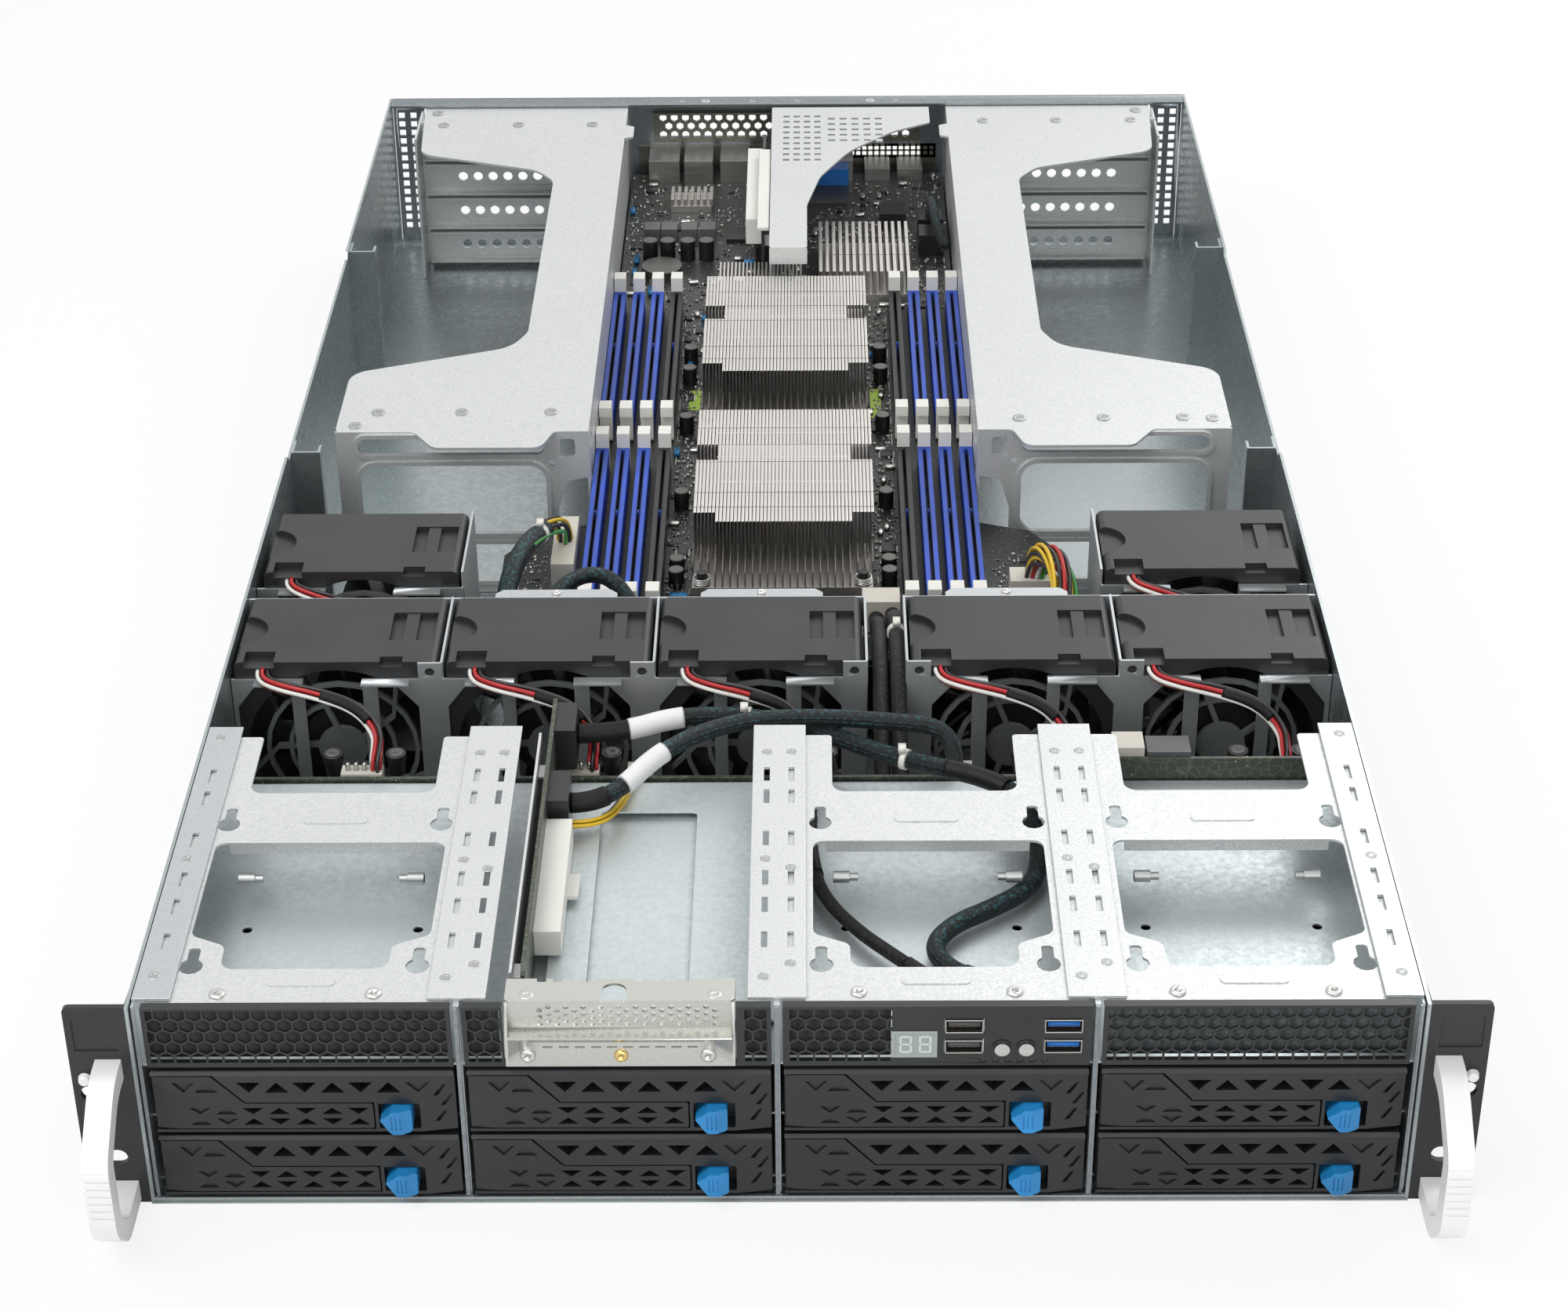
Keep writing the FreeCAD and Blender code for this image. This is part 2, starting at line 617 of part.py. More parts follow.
def front_bracket():
    """Expansion-slot box in the second upper bay: top flange, perforated blank, lower flange."""
    x = bay_centre(1)
    left, right = x - 38.0, x + 40.0
    low, top = PLATE_Z, CASE_H - 0.2
    thumb = outline("Z", [(left + 32.7, 2.6), (left + 41.3, 2.6), (left + 41.3, 13.0), (left + 32.7, 13.0)],
                    top - THIN - 1, [0, 0, 4.2, 4.2])
    cuts = [plate("Z", top - THIN - 1, top + 1, thumb)]
    for k in range(8):
        a = left + 10.4 + 5.46 * k + (11.0 if k > 3 else 0.0)
        cuts.append(box(a, a + 3.4, 13.8, 17.0, top - THIN - 1, top + 1))
    flange = slab("Z", [(left, 3.6), (right, 3.6), (right, 15.6), (left, 15.6)], top - THIN, top,
                  [1.5, 1.5, 0, 0]).cut(cuts)
    dots = []
    for dot_row in range(6):
        shift = 2.97 if dot_row % 2 else 0.0
        for k in range(11 - dot_row % 2):
            dots.append(ngon("Y", left + 11.8 + shift + 5.95 * k, 76.7 + 1.45 * dot_row, 3.8, 1.05))
    inner = (left + THIN, right - THIN)
    blank = plate("Y", 3.8, 3.8 + THIN, frame("Y", inner[0], inner[1], 75.0, top - THIN, 3.8), dots)
    step = box(inner[0], inner[1], -1.6, 3.8 + THIN, 74.0, 75.0)
    lower = plate("Y", -1.6, -0.6, frame("Y", inner[0], inner[1], low, 74.0, -1.6),
                  grid("Y", left + 14.5, 71.6, 10, 1, 5.46, 4, 3.4, 2.0, -1.6))
    sides = []
    for a in (left, right - THIN):
        sides.append(slab("X", [(-1.6, low), (-0.6, low), (15.6, low + 8), (15.6, top - THIN),
                                (3.6, top - THIN), (-1.6, 74.0)], a, a + THIN))
    foot = box(inner[0], inner[1], -0.6, 22.0, low, low + THIN)
    return [flange, blank, step, lower, foot] + sides


def rack_ear():
    """Right rack ear: a slotted front plate with a flange along the side wall."""
    outer = RACK_W / 2.0
    holes = []
    for z in RACK_HOLE_Z:
        x = RACK_HOLE_PITCH / 2.0
        holes.append(frame("Y", x - RACK_SLOT_L / 2, x + RACK_SLOT_L / 2, z - RACK_SLOT_R, z + RACK_SLOT_R, 0,
                           RACK_SLOT_R - 0.01))
    front = plate("Y", 0, EAR_T, outline("Y", [(HALF, 0.8), (outer, 0.8), (outer, CASE_H), (HALF, CASE_H)],
                                         0, [0, 2, 2, 0]), holes)
    front = front.cut(box(HALF + 4, outer - 2.5, -1, 0.5, 68.5, 82.0))
    flange = slab("X", [(EAR_T, 3.0), (EAR_FLANGE_D, 8.0), (EAR_FLANGE_D, CASE_H - 8.0),
                        (EAR_T, CASE_H - 3.0)], HALF, HALF + 1.5)
    return union([front, flange])


def rack_handle():
    """Right pull handle: a cast D with a ribbed grip."""
    reach = -HANDLE_REACH
    inner = reach + HANDLE_T
    top, low = HANDLE_TOP, 2.4
    outer_loop = [(0, top), (-13, top), (reach, top - 17), (reach, low + 14), (-22, low), (0, low)]
    inner_loop = [(0, top - HANDLE_T), (-11, top - HANDLE_T), (inner, top - 21), (inner, low + 15),
                  (-19, low + HANDLE_T), (0, low + HANDLE_T)]
    x0 = HALF + 3.4
    x1 = x0 + HANDLE_W
    solid = slab("X", outer_loop, x0, x1, [0, 22, 12, 16, 12, 0])
    hollow = slab("X", inner_loop + [(5, low + HANDLE_T), (5, top - HANDLE_T)], x0 - 1, x1 + 1,
                  [0, 16, 7, 10, 7, 0, 0, 0])
    grip = []
    for k in range(9):
        z = 25.0 + 3.2 * k
        grip.append(box(x0 - 1, x1 + 1, reach - 1, reach + 0.6, z, z + 1.0))
    handle = solid.cut([hollow] + grip)
    return handle


# ---------------------------------------------------------------- cooling

def fan_centre(index):
    """X of a front fan; the cable gap lies after the third."""
    x = -WALL + (index + 0.5) * FAN_PITCH
    return x + CABLE_GAP if index > 2 else x


def fan_frame(x, y):
    """Fan module: square duct with motor struts, guard, finger notch, latch pocket and lead notch."""
    half = FAN_PITCH / 2.0 - FAN_GAP
    z = (FAN_Z + FAN_TOP) / 2.0
    middle = y + FAN_D / 2.0
    duct = plate("Y", y, y + FAN_D, frame("Y", x - half, x + half, FAN_Z, FAN_TOP, y, 3.0),
                 [ring("Y", x, z, y, BORE_R)])
    cuts = [rod("Z", x - half, middle, FAN_TOP - 2.4, FAN_TOP + 1, 10.5),
            box(x + half - 21.0, x + half - 3.0, middle - 8.0, middle + 13.0, FAN_TOP - 2.4, FAN_TOP + 1),
            box(x + half - 23.0, x + half - 14.0, y - 1, y + 4.0, FAN_TOP - 2.4, FAN_TOP + 1),
            box(x - half + 4.0, x - half + 16.0, y - 1, y + 8.0, FAN_TOP - 2.8, FAN_TOP + 1)]
    bar = box(x + half - 15.6, x + half - 10.4, middle - 8.0, middle + 13.0, FAN_TOP - 2.4, FAN_TOP - 0.4)
    pieces = [duct.cut(cuts), bar]
    pieces += guard(x, y + 1.0, z)
    for k in range(4):
        strut = Part.makeBox(BORE_R + 1.0, 3.0, 3.0, Vector(0, y + FAN_D - 4.0, -1.5))
        strut.rotate(Vector(0, 0, 0), Vector(0, 1, 0), -90.0 * k - 45.0)
        strut.translate(Vector(x, 0, z))
        pieces.append(strut)
    motor = y + FAN_D - MOTOR_SETBACK
    pieces.append(rod("Y", x, z, motor, y + FAN_D - 1.0, HUB_R))
    pieces.append(rod("Y", x, z, y + SHAFT_SETBACK, motor + 1.0, SHAFT_R))
    return union(pieces)


def guard(x, y, z):
    """Finger guard at a fan's inlet: two rings, a centre disc and five swept arms."""
    pieces = [plate("Y", y, y + GUARD_T, ngon("Y", x, z, y, 10.0, 16))]
    for radius in (22.0, 31.0):
        pieces.append(plate("Y", y, y + GUARD_T, ngon("Y", x, z, y, radius, 24),
                            [ngon("Y", x, z, y, radius - 1.8, 24)]))
    for k in range(5):
        turn = math.radians(72 * k + 20)
        arm = []
        for radius, swing in ((BORE_R + 1.5, 0.55), (26.0, 0.22), (9.0, 0.0),
                              (9.0, 0.24), (26.0, 0.30), (BORE_R + 1.5, 0.61)):
            arm.append((x + radius * math.cos(turn + swing), z + radius * math.sin(turn + swing)))
        pieces.append(slab("Y", arm, y, y + GUARD_T))
    return pieces


def fan_rotor(x, y):
    """Seven-bladed rotor with its bore on the motor shaft."""
    z = (FAN_Z + FAN_TOP) / 2.0
    front, rear = y + 6.0, y + FAN_D - MOTOR_SETBACK - CLEAR
    middle = (front + rear) / 2.0 - 1.0
    hub = rod("Y", x, z, front, rear, HUB_R)
    camber = [(-8.0, -13.0), (-2.5, -6.5), (3.0, 2.0), (7.0, 12.5)]
    blades = []
    for k in range(BLADES):
        back = [(a + 0.9, b - 0.9) for a, b in reversed(camber)]
        blade = slab("X", [(middle + b, z + a) for a, b in camber + back], x + HUB_R - 4.0, x + BORE_R - 4.4)
        blade.rotate(Vector(x, 0, z), Vector(0, 1, 0), 360.0 * k / BLADES)
        blades.append(blade)
    bore = rod("Y", x, z, y + SHAFT_SETBACK - CLEAR, rear + 1.0, SHAFT_R + 0.1)
    return union([hub] + blades).cut(bore)


def fan_positions():
    """X and front Y of the five front fans and the two rear ones."""
    front = [(fan_centre(i), FAN_Y) for i in range(FANS)]
    return front + [(fan_centre(0) + 1.8, REAR_FAN_Y), (fan_centre(FANS - 1) - 1.8, REAR_FAN_Y)]


def fan_front(x, y, side, tabbed):
    """Front sheet beside a fan partition: a windowed flange with a folded lip, and a tab on one kind."""
    top = FAN_TOP - LIP_DROP
    reach, near, far, slope = (32.0, 10.0, 26.0, 8.0) if tabbed else (28.7, 1.8, 23.5, 7.0)
    low = FAN_Z - CLEAR
    edge = [(0, low), (reach, low), (reach, top), (0, top)]
    if tabbed:
        edge = [(0, low), (reach, low), (reach, top), (9.4, top), (9.4, FAN_TOP), (0, FAN_TOP)]
    window = [(near, low + 10), (far, low + 10), (far, top - 3.6), (near + slope, top - 3.6),
              (near, top - 13.0)]
    holes = [outline("Y", [(x + side * a, b) for a, b in window], y)]
    if tabbed:
        holes.append(ring("Y", x + side * 4.8, FAN_TOP - 4.2, y, 1.9))
    sheet = plate("Y", y, y + THIN, outline("Y", [(x + side * a, b) for a, b in edge], y), holes)
    lip_start = 13.0 if tabbed else 9.3
    x0, x1 = sorted((x + side * lip_start, x + side * reach))
    return [sheet, box(x0, x1, y - LIP_D, y, top - 0.8, top)]


def fan_cage():
    """Floor strip, partitions with windowed front sheets, and the rear rail with its tabs."""
    edge = WALL - CLEAR
    front = FAN_Y - CLEAR - THIN
    rail_y = FAN_Y + FAN_D + 1.0
    pieces = [box(-edge, edge, front, rail_y + 5.0, SHEET, FAN_Z - CLEAR)]
    walls = [fan_centre(0) + FAN_PITCH / 2, fan_centre(1) + FAN_PITCH / 2, fan_centre(2) + FAN_PITCH / 2,
             fan_centre(3) - FAN_PITCH / 2, fan_centre(3) + FAN_PITCH / 2]
    for index, x in enumerate(walls):
        tab_side = -1 if index < 3 else 1
        pieces.append(box(x - THIN / 2, x + THIN / 2, front + THIN, rail_y, FAN_Z - CLEAR, FAN_TOP))
        pieces += fan_front(x, front, tab_side, True)
        if index not in (2, 3):
            pieces += fan_front(x, front, -tab_side, False)
    pieces += fan_front(-edge, front, 1, False) + fan_front(edge, front, -1, False)
    for left, right in ((-edge, walls[2]), (walls[3], edge)):
        pieces.append(box(left, right, rail_y, rail_y + THIN, CASE_H - 16.0, CASE_H - 2.0))
        pieces.append(box(left, right, rail_y, rail_y + THIN, FAN_Z - CLEAR, FAN_Z + 6.0))
    for index in (1, 2, 3):
        x = fan_centre(index)
        back = rail_y + THIN
        pieces.append(slab("Z", [(x - 25.0, back), (x + 25.0, back), (x + 25.0, back + 3.0),
                                 (x + 22.0, back + 6.0), (x - 22.0, back + 6.0), (x - 25.0, back + 3.0)],
                           CASE_H - 3.0, CASE_H - 2.0, 0.0,
                           [ring("Z", x, back + 2.8, CASE_H - 3.0, 1.6)]))
    for x, side in ((fan_positions()[FANS][0], 1), (fan_positions()[FANS + 1][0], -1)):
        inner = x + side * FAN_PITCH / 2.0
        y = REAR_FAN_Y - CLEAR - THIN
        back = REAR_FAN_Y + FAN_D + 2.0
        pieces.append(box(inner - THIN / 2, inner + THIN / 2, y + THIN, back, FAN_Z - CLEAR, FAN_TOP))
        ends = sorted((inner, -side * edge))
        pieces.append(box(ends[0], ends[1], y, back, SHEET, FAN_Z - CLEAR))
        pieces += fan_front(inner, y, -side, False) + fan_front(-side * edge, y, side, False)
    return pieces


# ---------------------------------------------------------------- boards

def backplane():
    """Upright board behind the drive cage, with a tall end that carries the power plugs."""
    y = CAGE_D + 1.0
    top = 62.0
    right = WALL - 5.0
    points = [(-right, 4.0), (right, 4.0), (right, top + 8), (bay_centre(3) - 42, top + 8),
              (bay_centre(3) - 42, top), (-right, top)]
    holes = []
    for column in range(COLUMNS):
        for z in ROW_Z:
            x = bay_centre(column)
            holes.append(frame("Y", x - 36.0, x - 6.0, z + 8.0, z + 18.0, y))
    board = slab("Y", points, y, y + 1.6, 0.0, holes)
    plugs = []
    for column in range(COLUMNS):
        for z in ROW_Z:
            x = bay_centre(column)
            plugs.append(box(x + 4.0, x + 36.0, y - 4.0, y, z + 9.0, z + 15.0))
    for index in range(FANS):
        x = fan_centre(index) + 14.0
        plugs.append(box(x - 8.0, x + 8.0, y + 1.6, y + 8.0, top - 8.0, top + 1.0))
    for x0, x1 in ((61.0, 75.0), (-60.0, -50.0)):
        plugs.append(box(x0, x1, y + 1.6, y + 17.0, top - 12.0, top - 4.0))
    x = bay_centre(3) - 34.0
    plugs.append(box(x, x + 12.0, y + 1.6, y + 13.0, top - 8.0, top + 12.0))
    plugs.append(box(x + 13.0, x + 30.0, y + 1.6, y + 13.0, top - 8.0, top + 10.0))
    return [board] + plugs


def front_riser():
    """Upright riser board of the second upper bay, with its card slot and two plugs."""
    x = bay_centre(1) - 32.4
    shelf = SHELF_Z + THIN
    board = slab("X", [(22.0, shelf + 1), (CAGE_D - 4, shelf + 1), (CAGE_D - 4, shelf + 4), (196.0, shelf + 4),
                       (196.0, 85.0), (22.0, 85.0)], x - 1.6, x, [1, 0, 0, 1, 4, 4])
    slot = box(x, x + 9.6, 56.0, 125.0, 65.4, 76.0)
    slot = slot.cut(box(x + 6.0, x + 10.6, 58.0, 123.0, 69.8, 71.4))
    tab = box(x + 9.6, x + 13.6, 88.0, 102.0, 66.0, 67.6)
    plugs = [box(x, x + 8.0, 128.0, 148.0, 66.0, 82.0), box(x, x + 8.0, 172.0, 192.0, 66.0, 84.0)]
    stay = [box(x - 5.6, x - 4.6, 22.0, CAGE_D - 1.0, shelf, 84.5),
            box(x - 4.6, x - 1.6, 26.0, 34.0, 78.0, 79.0),
            box(x - 4.6, x - 1.6, 148.0, 156.0, 78.0, 79.0)]
    return [board, union([slot, tab])] + stay + plugs


def motherboard():
    """Main board, wider at its front, on a steel carrier that leaves a tunnel for the power supplies."""
    rear = CASE_D - SHEET - BOARD_REAR_GAP
    edge = CAGE_IN - 1.0
    points = [(-BOARD_EAR, BOARD_Y), (BOARD_EAR, BOARD_Y), (BOARD_EAR, CAGE_Y - 40),
              (BOARD_EAR - 14, CAGE_Y - 20),
              (edge, CAGE_Y - 12), (edge, rear), (-edge, rear), (-edge, CAGE_Y - 12),
              (-BOARD_EAR + 14, CAGE_Y - 20), (-BOARD_EAR, CAGE_Y - 40)]
    board = slab("Z", points, BOARD_Z, BOARD_TOP)
    spacers = []
    for y in (BOARD_Y + 18.0, (BOARD_Y + rear) / 2.0, rear - 16.0):
        for x in (-edge + 6.0, 0.0, edge - 6.0):
            spacers.append(rod("Z", x, y, CARRIER_Z + THIN, BOARD_Z, 3.0))
    for x in (-BOARD_EAR + 10.0, BOARD_EAR - 10.0):
        spacers.append(rod("Z", x, BOARD_Y + 18.0, SHEET, BOARD_Z, 3.5))
    deck = box(-edge, edge, BOARD_Y, rear, CARRIER_Z, CARRIER_Z + THIN)
    legs = [box(a, a + THIN, BOARD_Y, rear, SHEET, CARRIER_Z) for a in (-edge, edge - THIN)]
    return [board, deck] + spacers + legs


def power_supply(side):
    """Plug-in power supply with an inlet socket, an air grille and a pull handle at its rear."""
    x0 = PSU_GAP / 2.0 if side > 0 else -PSU_GAP / 2.0 - PSU_W
    rear = CASE_D - 1.0
    body = box(x0, x0 + PSU_W, rear - PSU_D, rear, PSU_Z, PSU_Z + PSU_H)
    inlet = box(x0 + 6.0, x0 + 33.0, rear - 14.0, rear + 1, PSU_Z + 10.0, PSU_Z + 29.0)
    pins = [box(x0 + a, x0 + a + 2.0, rear - 14.0, rear - 4.0, PSU_Z + b, PSU_Z + b + 4.0)
            for a, b in ((11.5, 16.0), (18.5, 19.0), (25.5, 16.0))]
    grille = plate("Y", rear - 3.0, rear + 1, ring("Y", x0 + 54.0, PSU_Z + PSU_H / 2, rear - 3.0, 16.0))
    spokes = [box(x0 + 38.0, x0 + 70.0, rear - 3.0, rear - 1.0, PSU_Z + b, PSU_Z + b + 1.2)
              for b in (9.0, 15.0, 21.0, 27.0)]
    edge = rod("X", rear - PSU_D, PSU_Z + PSU_H, x0 - 1, x0 + PSU_W + 1, 2.0)
    return union([body.cut([inlet, grille, edge])] + pins + spokes)


def dimm_slots():
    """Sixteen memory slots, long sockets with a card groove and two end towers."""
    slots = []
    for side in (-1, 1):
        for centre in BANK_Y:
            for k in range(SLOTS):
                x = side * (SLOT_FIRST + k * SLOT_PITCH)
                body = box(x - SLOT_W / 2, x + SLOT_W / 2, centre - SLOT_L / 2, centre + SLOT_L / 2,
                           BOARD_TOP, BOARD_TOP + SLOT_H)
                groove = box(x - 0.8, x + 0.8, centre - SLOT_L / 2 + 2, centre + SLOT_L / 2 - 2,
                             BOARD_TOP + 5, BOARD_TOP + SLOT_H + 1)
                slots.append(body.cut(groove))
    return slots


def latch_pivot(row):
    """Y, Z and outward direction of the pivot of a row of memory latches."""
    bank, end = divmod(row, 2)
    outward = -1 if end == 0 else 1
    y = BANK_Y[bank] + outward * (SLOT_L / 2.0 + CLEAR + LATCH_T / 2.0)
    return y, BOARD_TOP + LATCH_T / 2.0 + CLEAR, outward


def dimm_latches(row):
    """One row of eight card latches that turn outward about their lower ends."""
    y, z, out = latch_pivot(row)
    half = LATCH_T / 2.0
    latches = []
    for side in (-1, 1):
        for k in range(SLOTS):
            x = side * (SLOT_FIRST + k * SLOT_PITCH)
            bar = box(x - 2.9, x + 2.9, y - half, y + half, z, z + LATCH_H)
            foot = rod("X", y, z, x - 2.9, x + 2.9, half)
            grip = box(x - 2.9, x + 2.9, min(y, y + out * 5.4), max(y, y + out * 5.4), z + LATCH_H - 5.0,
                       z + LATCH_H)
            latches.append(union([bar, foot, grip]))
    return latches


def heatsink(y):
    """Finned block over a processor, with notched sides and a lower step towards the fans."""
    half = SINK_W / 2.0
    top = SINK_TOP
    base_top = BOARD_TOP + 11.0
    front, rear = y - SINK_L / 2.0, y + SINK_L / 2.0
    base = box(-half, half, front - SINK_STEP, rear, BOARD_TOP + 7.0, base_top)
    step = SINK_W / SINK_FINS
    comb = [(-half, base_top - 1.0), (half, base_top - 1.0)]
    for k in range(SINK_FINS):
        right = half - k * step
        comb += [(right, top), (right - 0.9, top)]
        if k < SINK_FINS - 1:
            comb += [(right - 0.9, base_top), (right - step, base_top)]
    comb[-1] = (-half, top)
    fins = slab("Y", comb, front - SINK_STEP, rear)
    cuts = [box(-half - 1, half + 1, front - SINK_STEP - 1, front, top - 11.0, top + 1)]
    for side in (-1, 1):
        x0, x1 = sorted((side * (half - 9.0), side * (half + 1.0)))
        for y0, y1 in ((front - SINK_STEP - 1, front + 8.0), (y + 4.0, y + 16.0)):
            cuts.append(box(x0, x1, y0, y1, base_top + 1.0, top + 1))
    socket = box(-half + 8, half - 8, y - 42.0, y + 42.0, BOARD_TOP, BOARD_TOP + 7.0)
    return union([base, fins.cut(cuts), socket])


def small_sink(x0, x1, y0, y1, top, fins):
    """Small extruded cooler with fins along Y."""
    base = box(x0, x1, y0, y1, BOARD_TOP, BOARD_TOP + 4.0)
    step = (x1 - x0) / fins
    pieces = [base]
    for k in range(fins):
        pieces.append(box(x0 + k * step, x0 + k * step + 1.0, y0, y1, BOARD_TOP + 3.0, top))
    return union(pieces)


def heatsinks():
    """Both processor coolers, the chipset cooler, the regulator block and the small rear cooler."""
    rear = CASE_D
    sinks = [heatsink(y) for y in SINK_Y]
    sinks.append(small_sink(17.0, 63.0, rear - 172.0, rear - 110.0, BOARD_TOP + 17.0, 14))
    sinks.append(small_sink(-34.0, 8.0, SINK_Y[1] + 77.0, SINK_Y[1] + 99.0, BOARD_TOP + 15.0, 12))
    sinks.append(small_sink(-63.0, -41.0, rear - 61.0, rear - 43.0, BOARD_TOP + 8.0, 7))
    return sinks


def board_parts():
    """Capacitors, coils, chips, the battery and the power and data sockets of the main board."""
    parts = []
    rear = CASE_D
    for x in (-46.5, 46.5):
        for y in (SINK_Y[0] - 58, SINK_Y[0] - 48, SINK_Y[0] + 12,
                  SINK_Y[1] - 58, SINK_Y[1] - 8, SINK_Y[1] + 14):
            parts.append(rod("Z", x, y, BOARD_TOP, BOARD_TOP + 9.0, 3.4))
    for x in (-71.7, -62.5, -52.0, -42.1):
        parts.append(rod("Z", x, rear - 120.0, BOARD_TOP, BOARD_TOP + 11.0, 4.0))
        parts.append(box(x - 4.2, x + 4.2, rear - 98.0, rear - 88.0, BOARD_TOP, BOARD_TOP + 7.0))
    parts.append(rod("Z", -65.0, rear - 138.0, BOARD_TOP, BOARD_TOP + 5.0, 10.5))
    for x0, x1, y0, y1, height in ((12, 33, rear - 52, rear - 28, 2), (-32, -20, rear - 100, rear - 84, 2),
                                   (50, 64, rear - 84, rear - 68, 9), (70, 83, rear - 118, rear - 104, 12),
                                   (70, 83, rear - 98, rear - 84, 12),
                                   (34, 50, BOARD_Y + 22, BOARD_Y + 34, 15)):
        parts.append(box(x0, x1, y0, y1, BOARD_TOP, BOARD_TOP + height))
    parts.append(box(-101.0, -91.0, BOARD_Y + 58.0, BOARD_Y + 100.0, BOARD_TOP, BOARD_TOP + 13.0))
    parts.append(box(98.0, 120.0, BOARD_Y + 42.0, BOARD_Y + 54.0, BOARD_TOP, BOARD_TOP + 13.0))
    return parts


# ---------------------------------------------------------------- card cages

def gpu_cage():
    """Left card cage: shaped cover, inner wall, windowed front frame and the rear bracket rack."""
    y0, y1 = CAGE_Y, CASE_D - 8.0
    low = SHEET + CLEAR
    rack = CASE_D - BRACKET_SETBACK
    cover = [(-CAGE_IN, y0), (-103, y0), (-108, y0 - 15), (-156, y0 - 15), (-166, y0), (-CAGE_OUT, y0),
             (-CAGE_OUT, y0 + 58), (-129, y0 + 84), (-122, y0 + 100), (-122, y1 - 102), (-132, y1 - 88),
             (-CAGE_OUT + 6, y1 - 66), (-CAGE_OUT + 2, y1), (-CAGE_IN, y1), (-CAGE_IN, y1 - 28),
             (-CAGE_IN + 4.6, y1 - 30), (-CAGE_IN + 4.6, y1 - 44), (-CAGE_IN, y1 - 46)]
    radii = [0, 3, 6, 6, 4, 4, 12, 18, 14, 14, 16, 10, 2, 0, 0, 1, 1, 0]
    top = slab("Z", cover, CAGE_TOP - SHEET, CAGE_TOP, radii)
    x0 = -CAGE_IN - SHEET
    wall = plate("X", x0, -CAGE_IN, frame("X", y0, y1, low, CAGE_TOP, x0),
                 [frame("X", y0 + 8, y0 + 20, 50, 64, x0, 2), ring("X", y0 + 14, 74, x0, 4)])
    left, right = -CAGE_OUT + 9.8, -CAGE_IN - 20.0
    holes = [frame("Y", -CAGE_IN - 13.2, -CAGE_IN - 6.4, 72.6, 81.6, y0, 1.6),
             ngon("Y", -CAGE_IN - 16.6, 69.4, y0, 1.8, 10)]
    rims = []
    for z0, z1, radius in ((8.0, 27.6, 6.0), (33.2, 68.6, 8.0), (74.2, 82.4, 4.0)):
        holes.append(frame("Y", left, right, z0, z1, y0, radius))
        outer = frame("Y", left - 2, right + 2, z0 - 2, z1 + 2, y0 - 1.2, radius + 2)
        rims.append(plate("Y", y0 - 1.2, y0, outer, [frame("Y", left, right, z0, z1, y0 - 1.2, radius)]))
    face = [(-CAGE_OUT, low), (-CAGE_IN - 15, low), (-CAGE_IN - 15, 45.0), (-CAGE_IN - 10.5, 60.0),
            (-CAGE_IN, 62.0), (-CAGE_IN, CAGE_TOP), (-CAGE_OUT, CAGE_TOP)]
    front = slab("Y", face, y0, y0 + SHEET, 0.0, holes)
    seat = rack + THIN + CLEAR
    rack_holes = []
    for k in range(CARDS):
        z = CARD_FLOOR + (k + 0.5) * CARD_PITCH
        rack_holes.append(frame("Y", -CAGE_OUT + 7, -CAGE_IN - 7, z - 8.0, z + 8.0, seat))
    carrier = plate("Y", seat, seat + SHEET, frame("Y", -CAGE_OUT, -CAGE_IN, low, CAGE_TOP, seat), rack_holes)
    side = box(-CAGE_OUT, -CAGE_OUT + SHEET, rack - 20.0, rack + 20.0, low, CAGE_TOP - 1.0)
    return union([top, wall, front, carrier, side] + rims)


def slot_blanks():
    """Vented blanks in the rear card rack: folded covers with a row of round holes."""
    blanks = []
    y = CASE_D - BRACKET_SETBACK
    for k in range(CARDS):
        z = CARD_FLOOR + (k + 0.5) * CARD_PITCH
        holes = []
        for n in range(10):
            holes.append(ngon("Y", -CAGE_OUT + 23 + n * 8.2, z, y, 2.7, 8))
        face = plate("Y", y, y + THIN, frame("Y", -CAGE_OUT + 3, -CAGE_IN - 3, z - 9.2, z + 9.2, y), holes)
        lips = []
        for b in (z - 9.2, z + 9.2 - THIN):
            lips.append(box(-CAGE_OUT + 3, -CAGE_IN - 3, y - 5.0, y, b, b + THIN))
        for b in (z - 6.4, z + 5.0):
            lips.append(box(-CAGE_OUT + 21, -CAGE_IN - 8, y - 0.7, y, b, b + 1.4))
        blank = union([face] + lips)
        blanks += both_sides(blank)
    return blanks


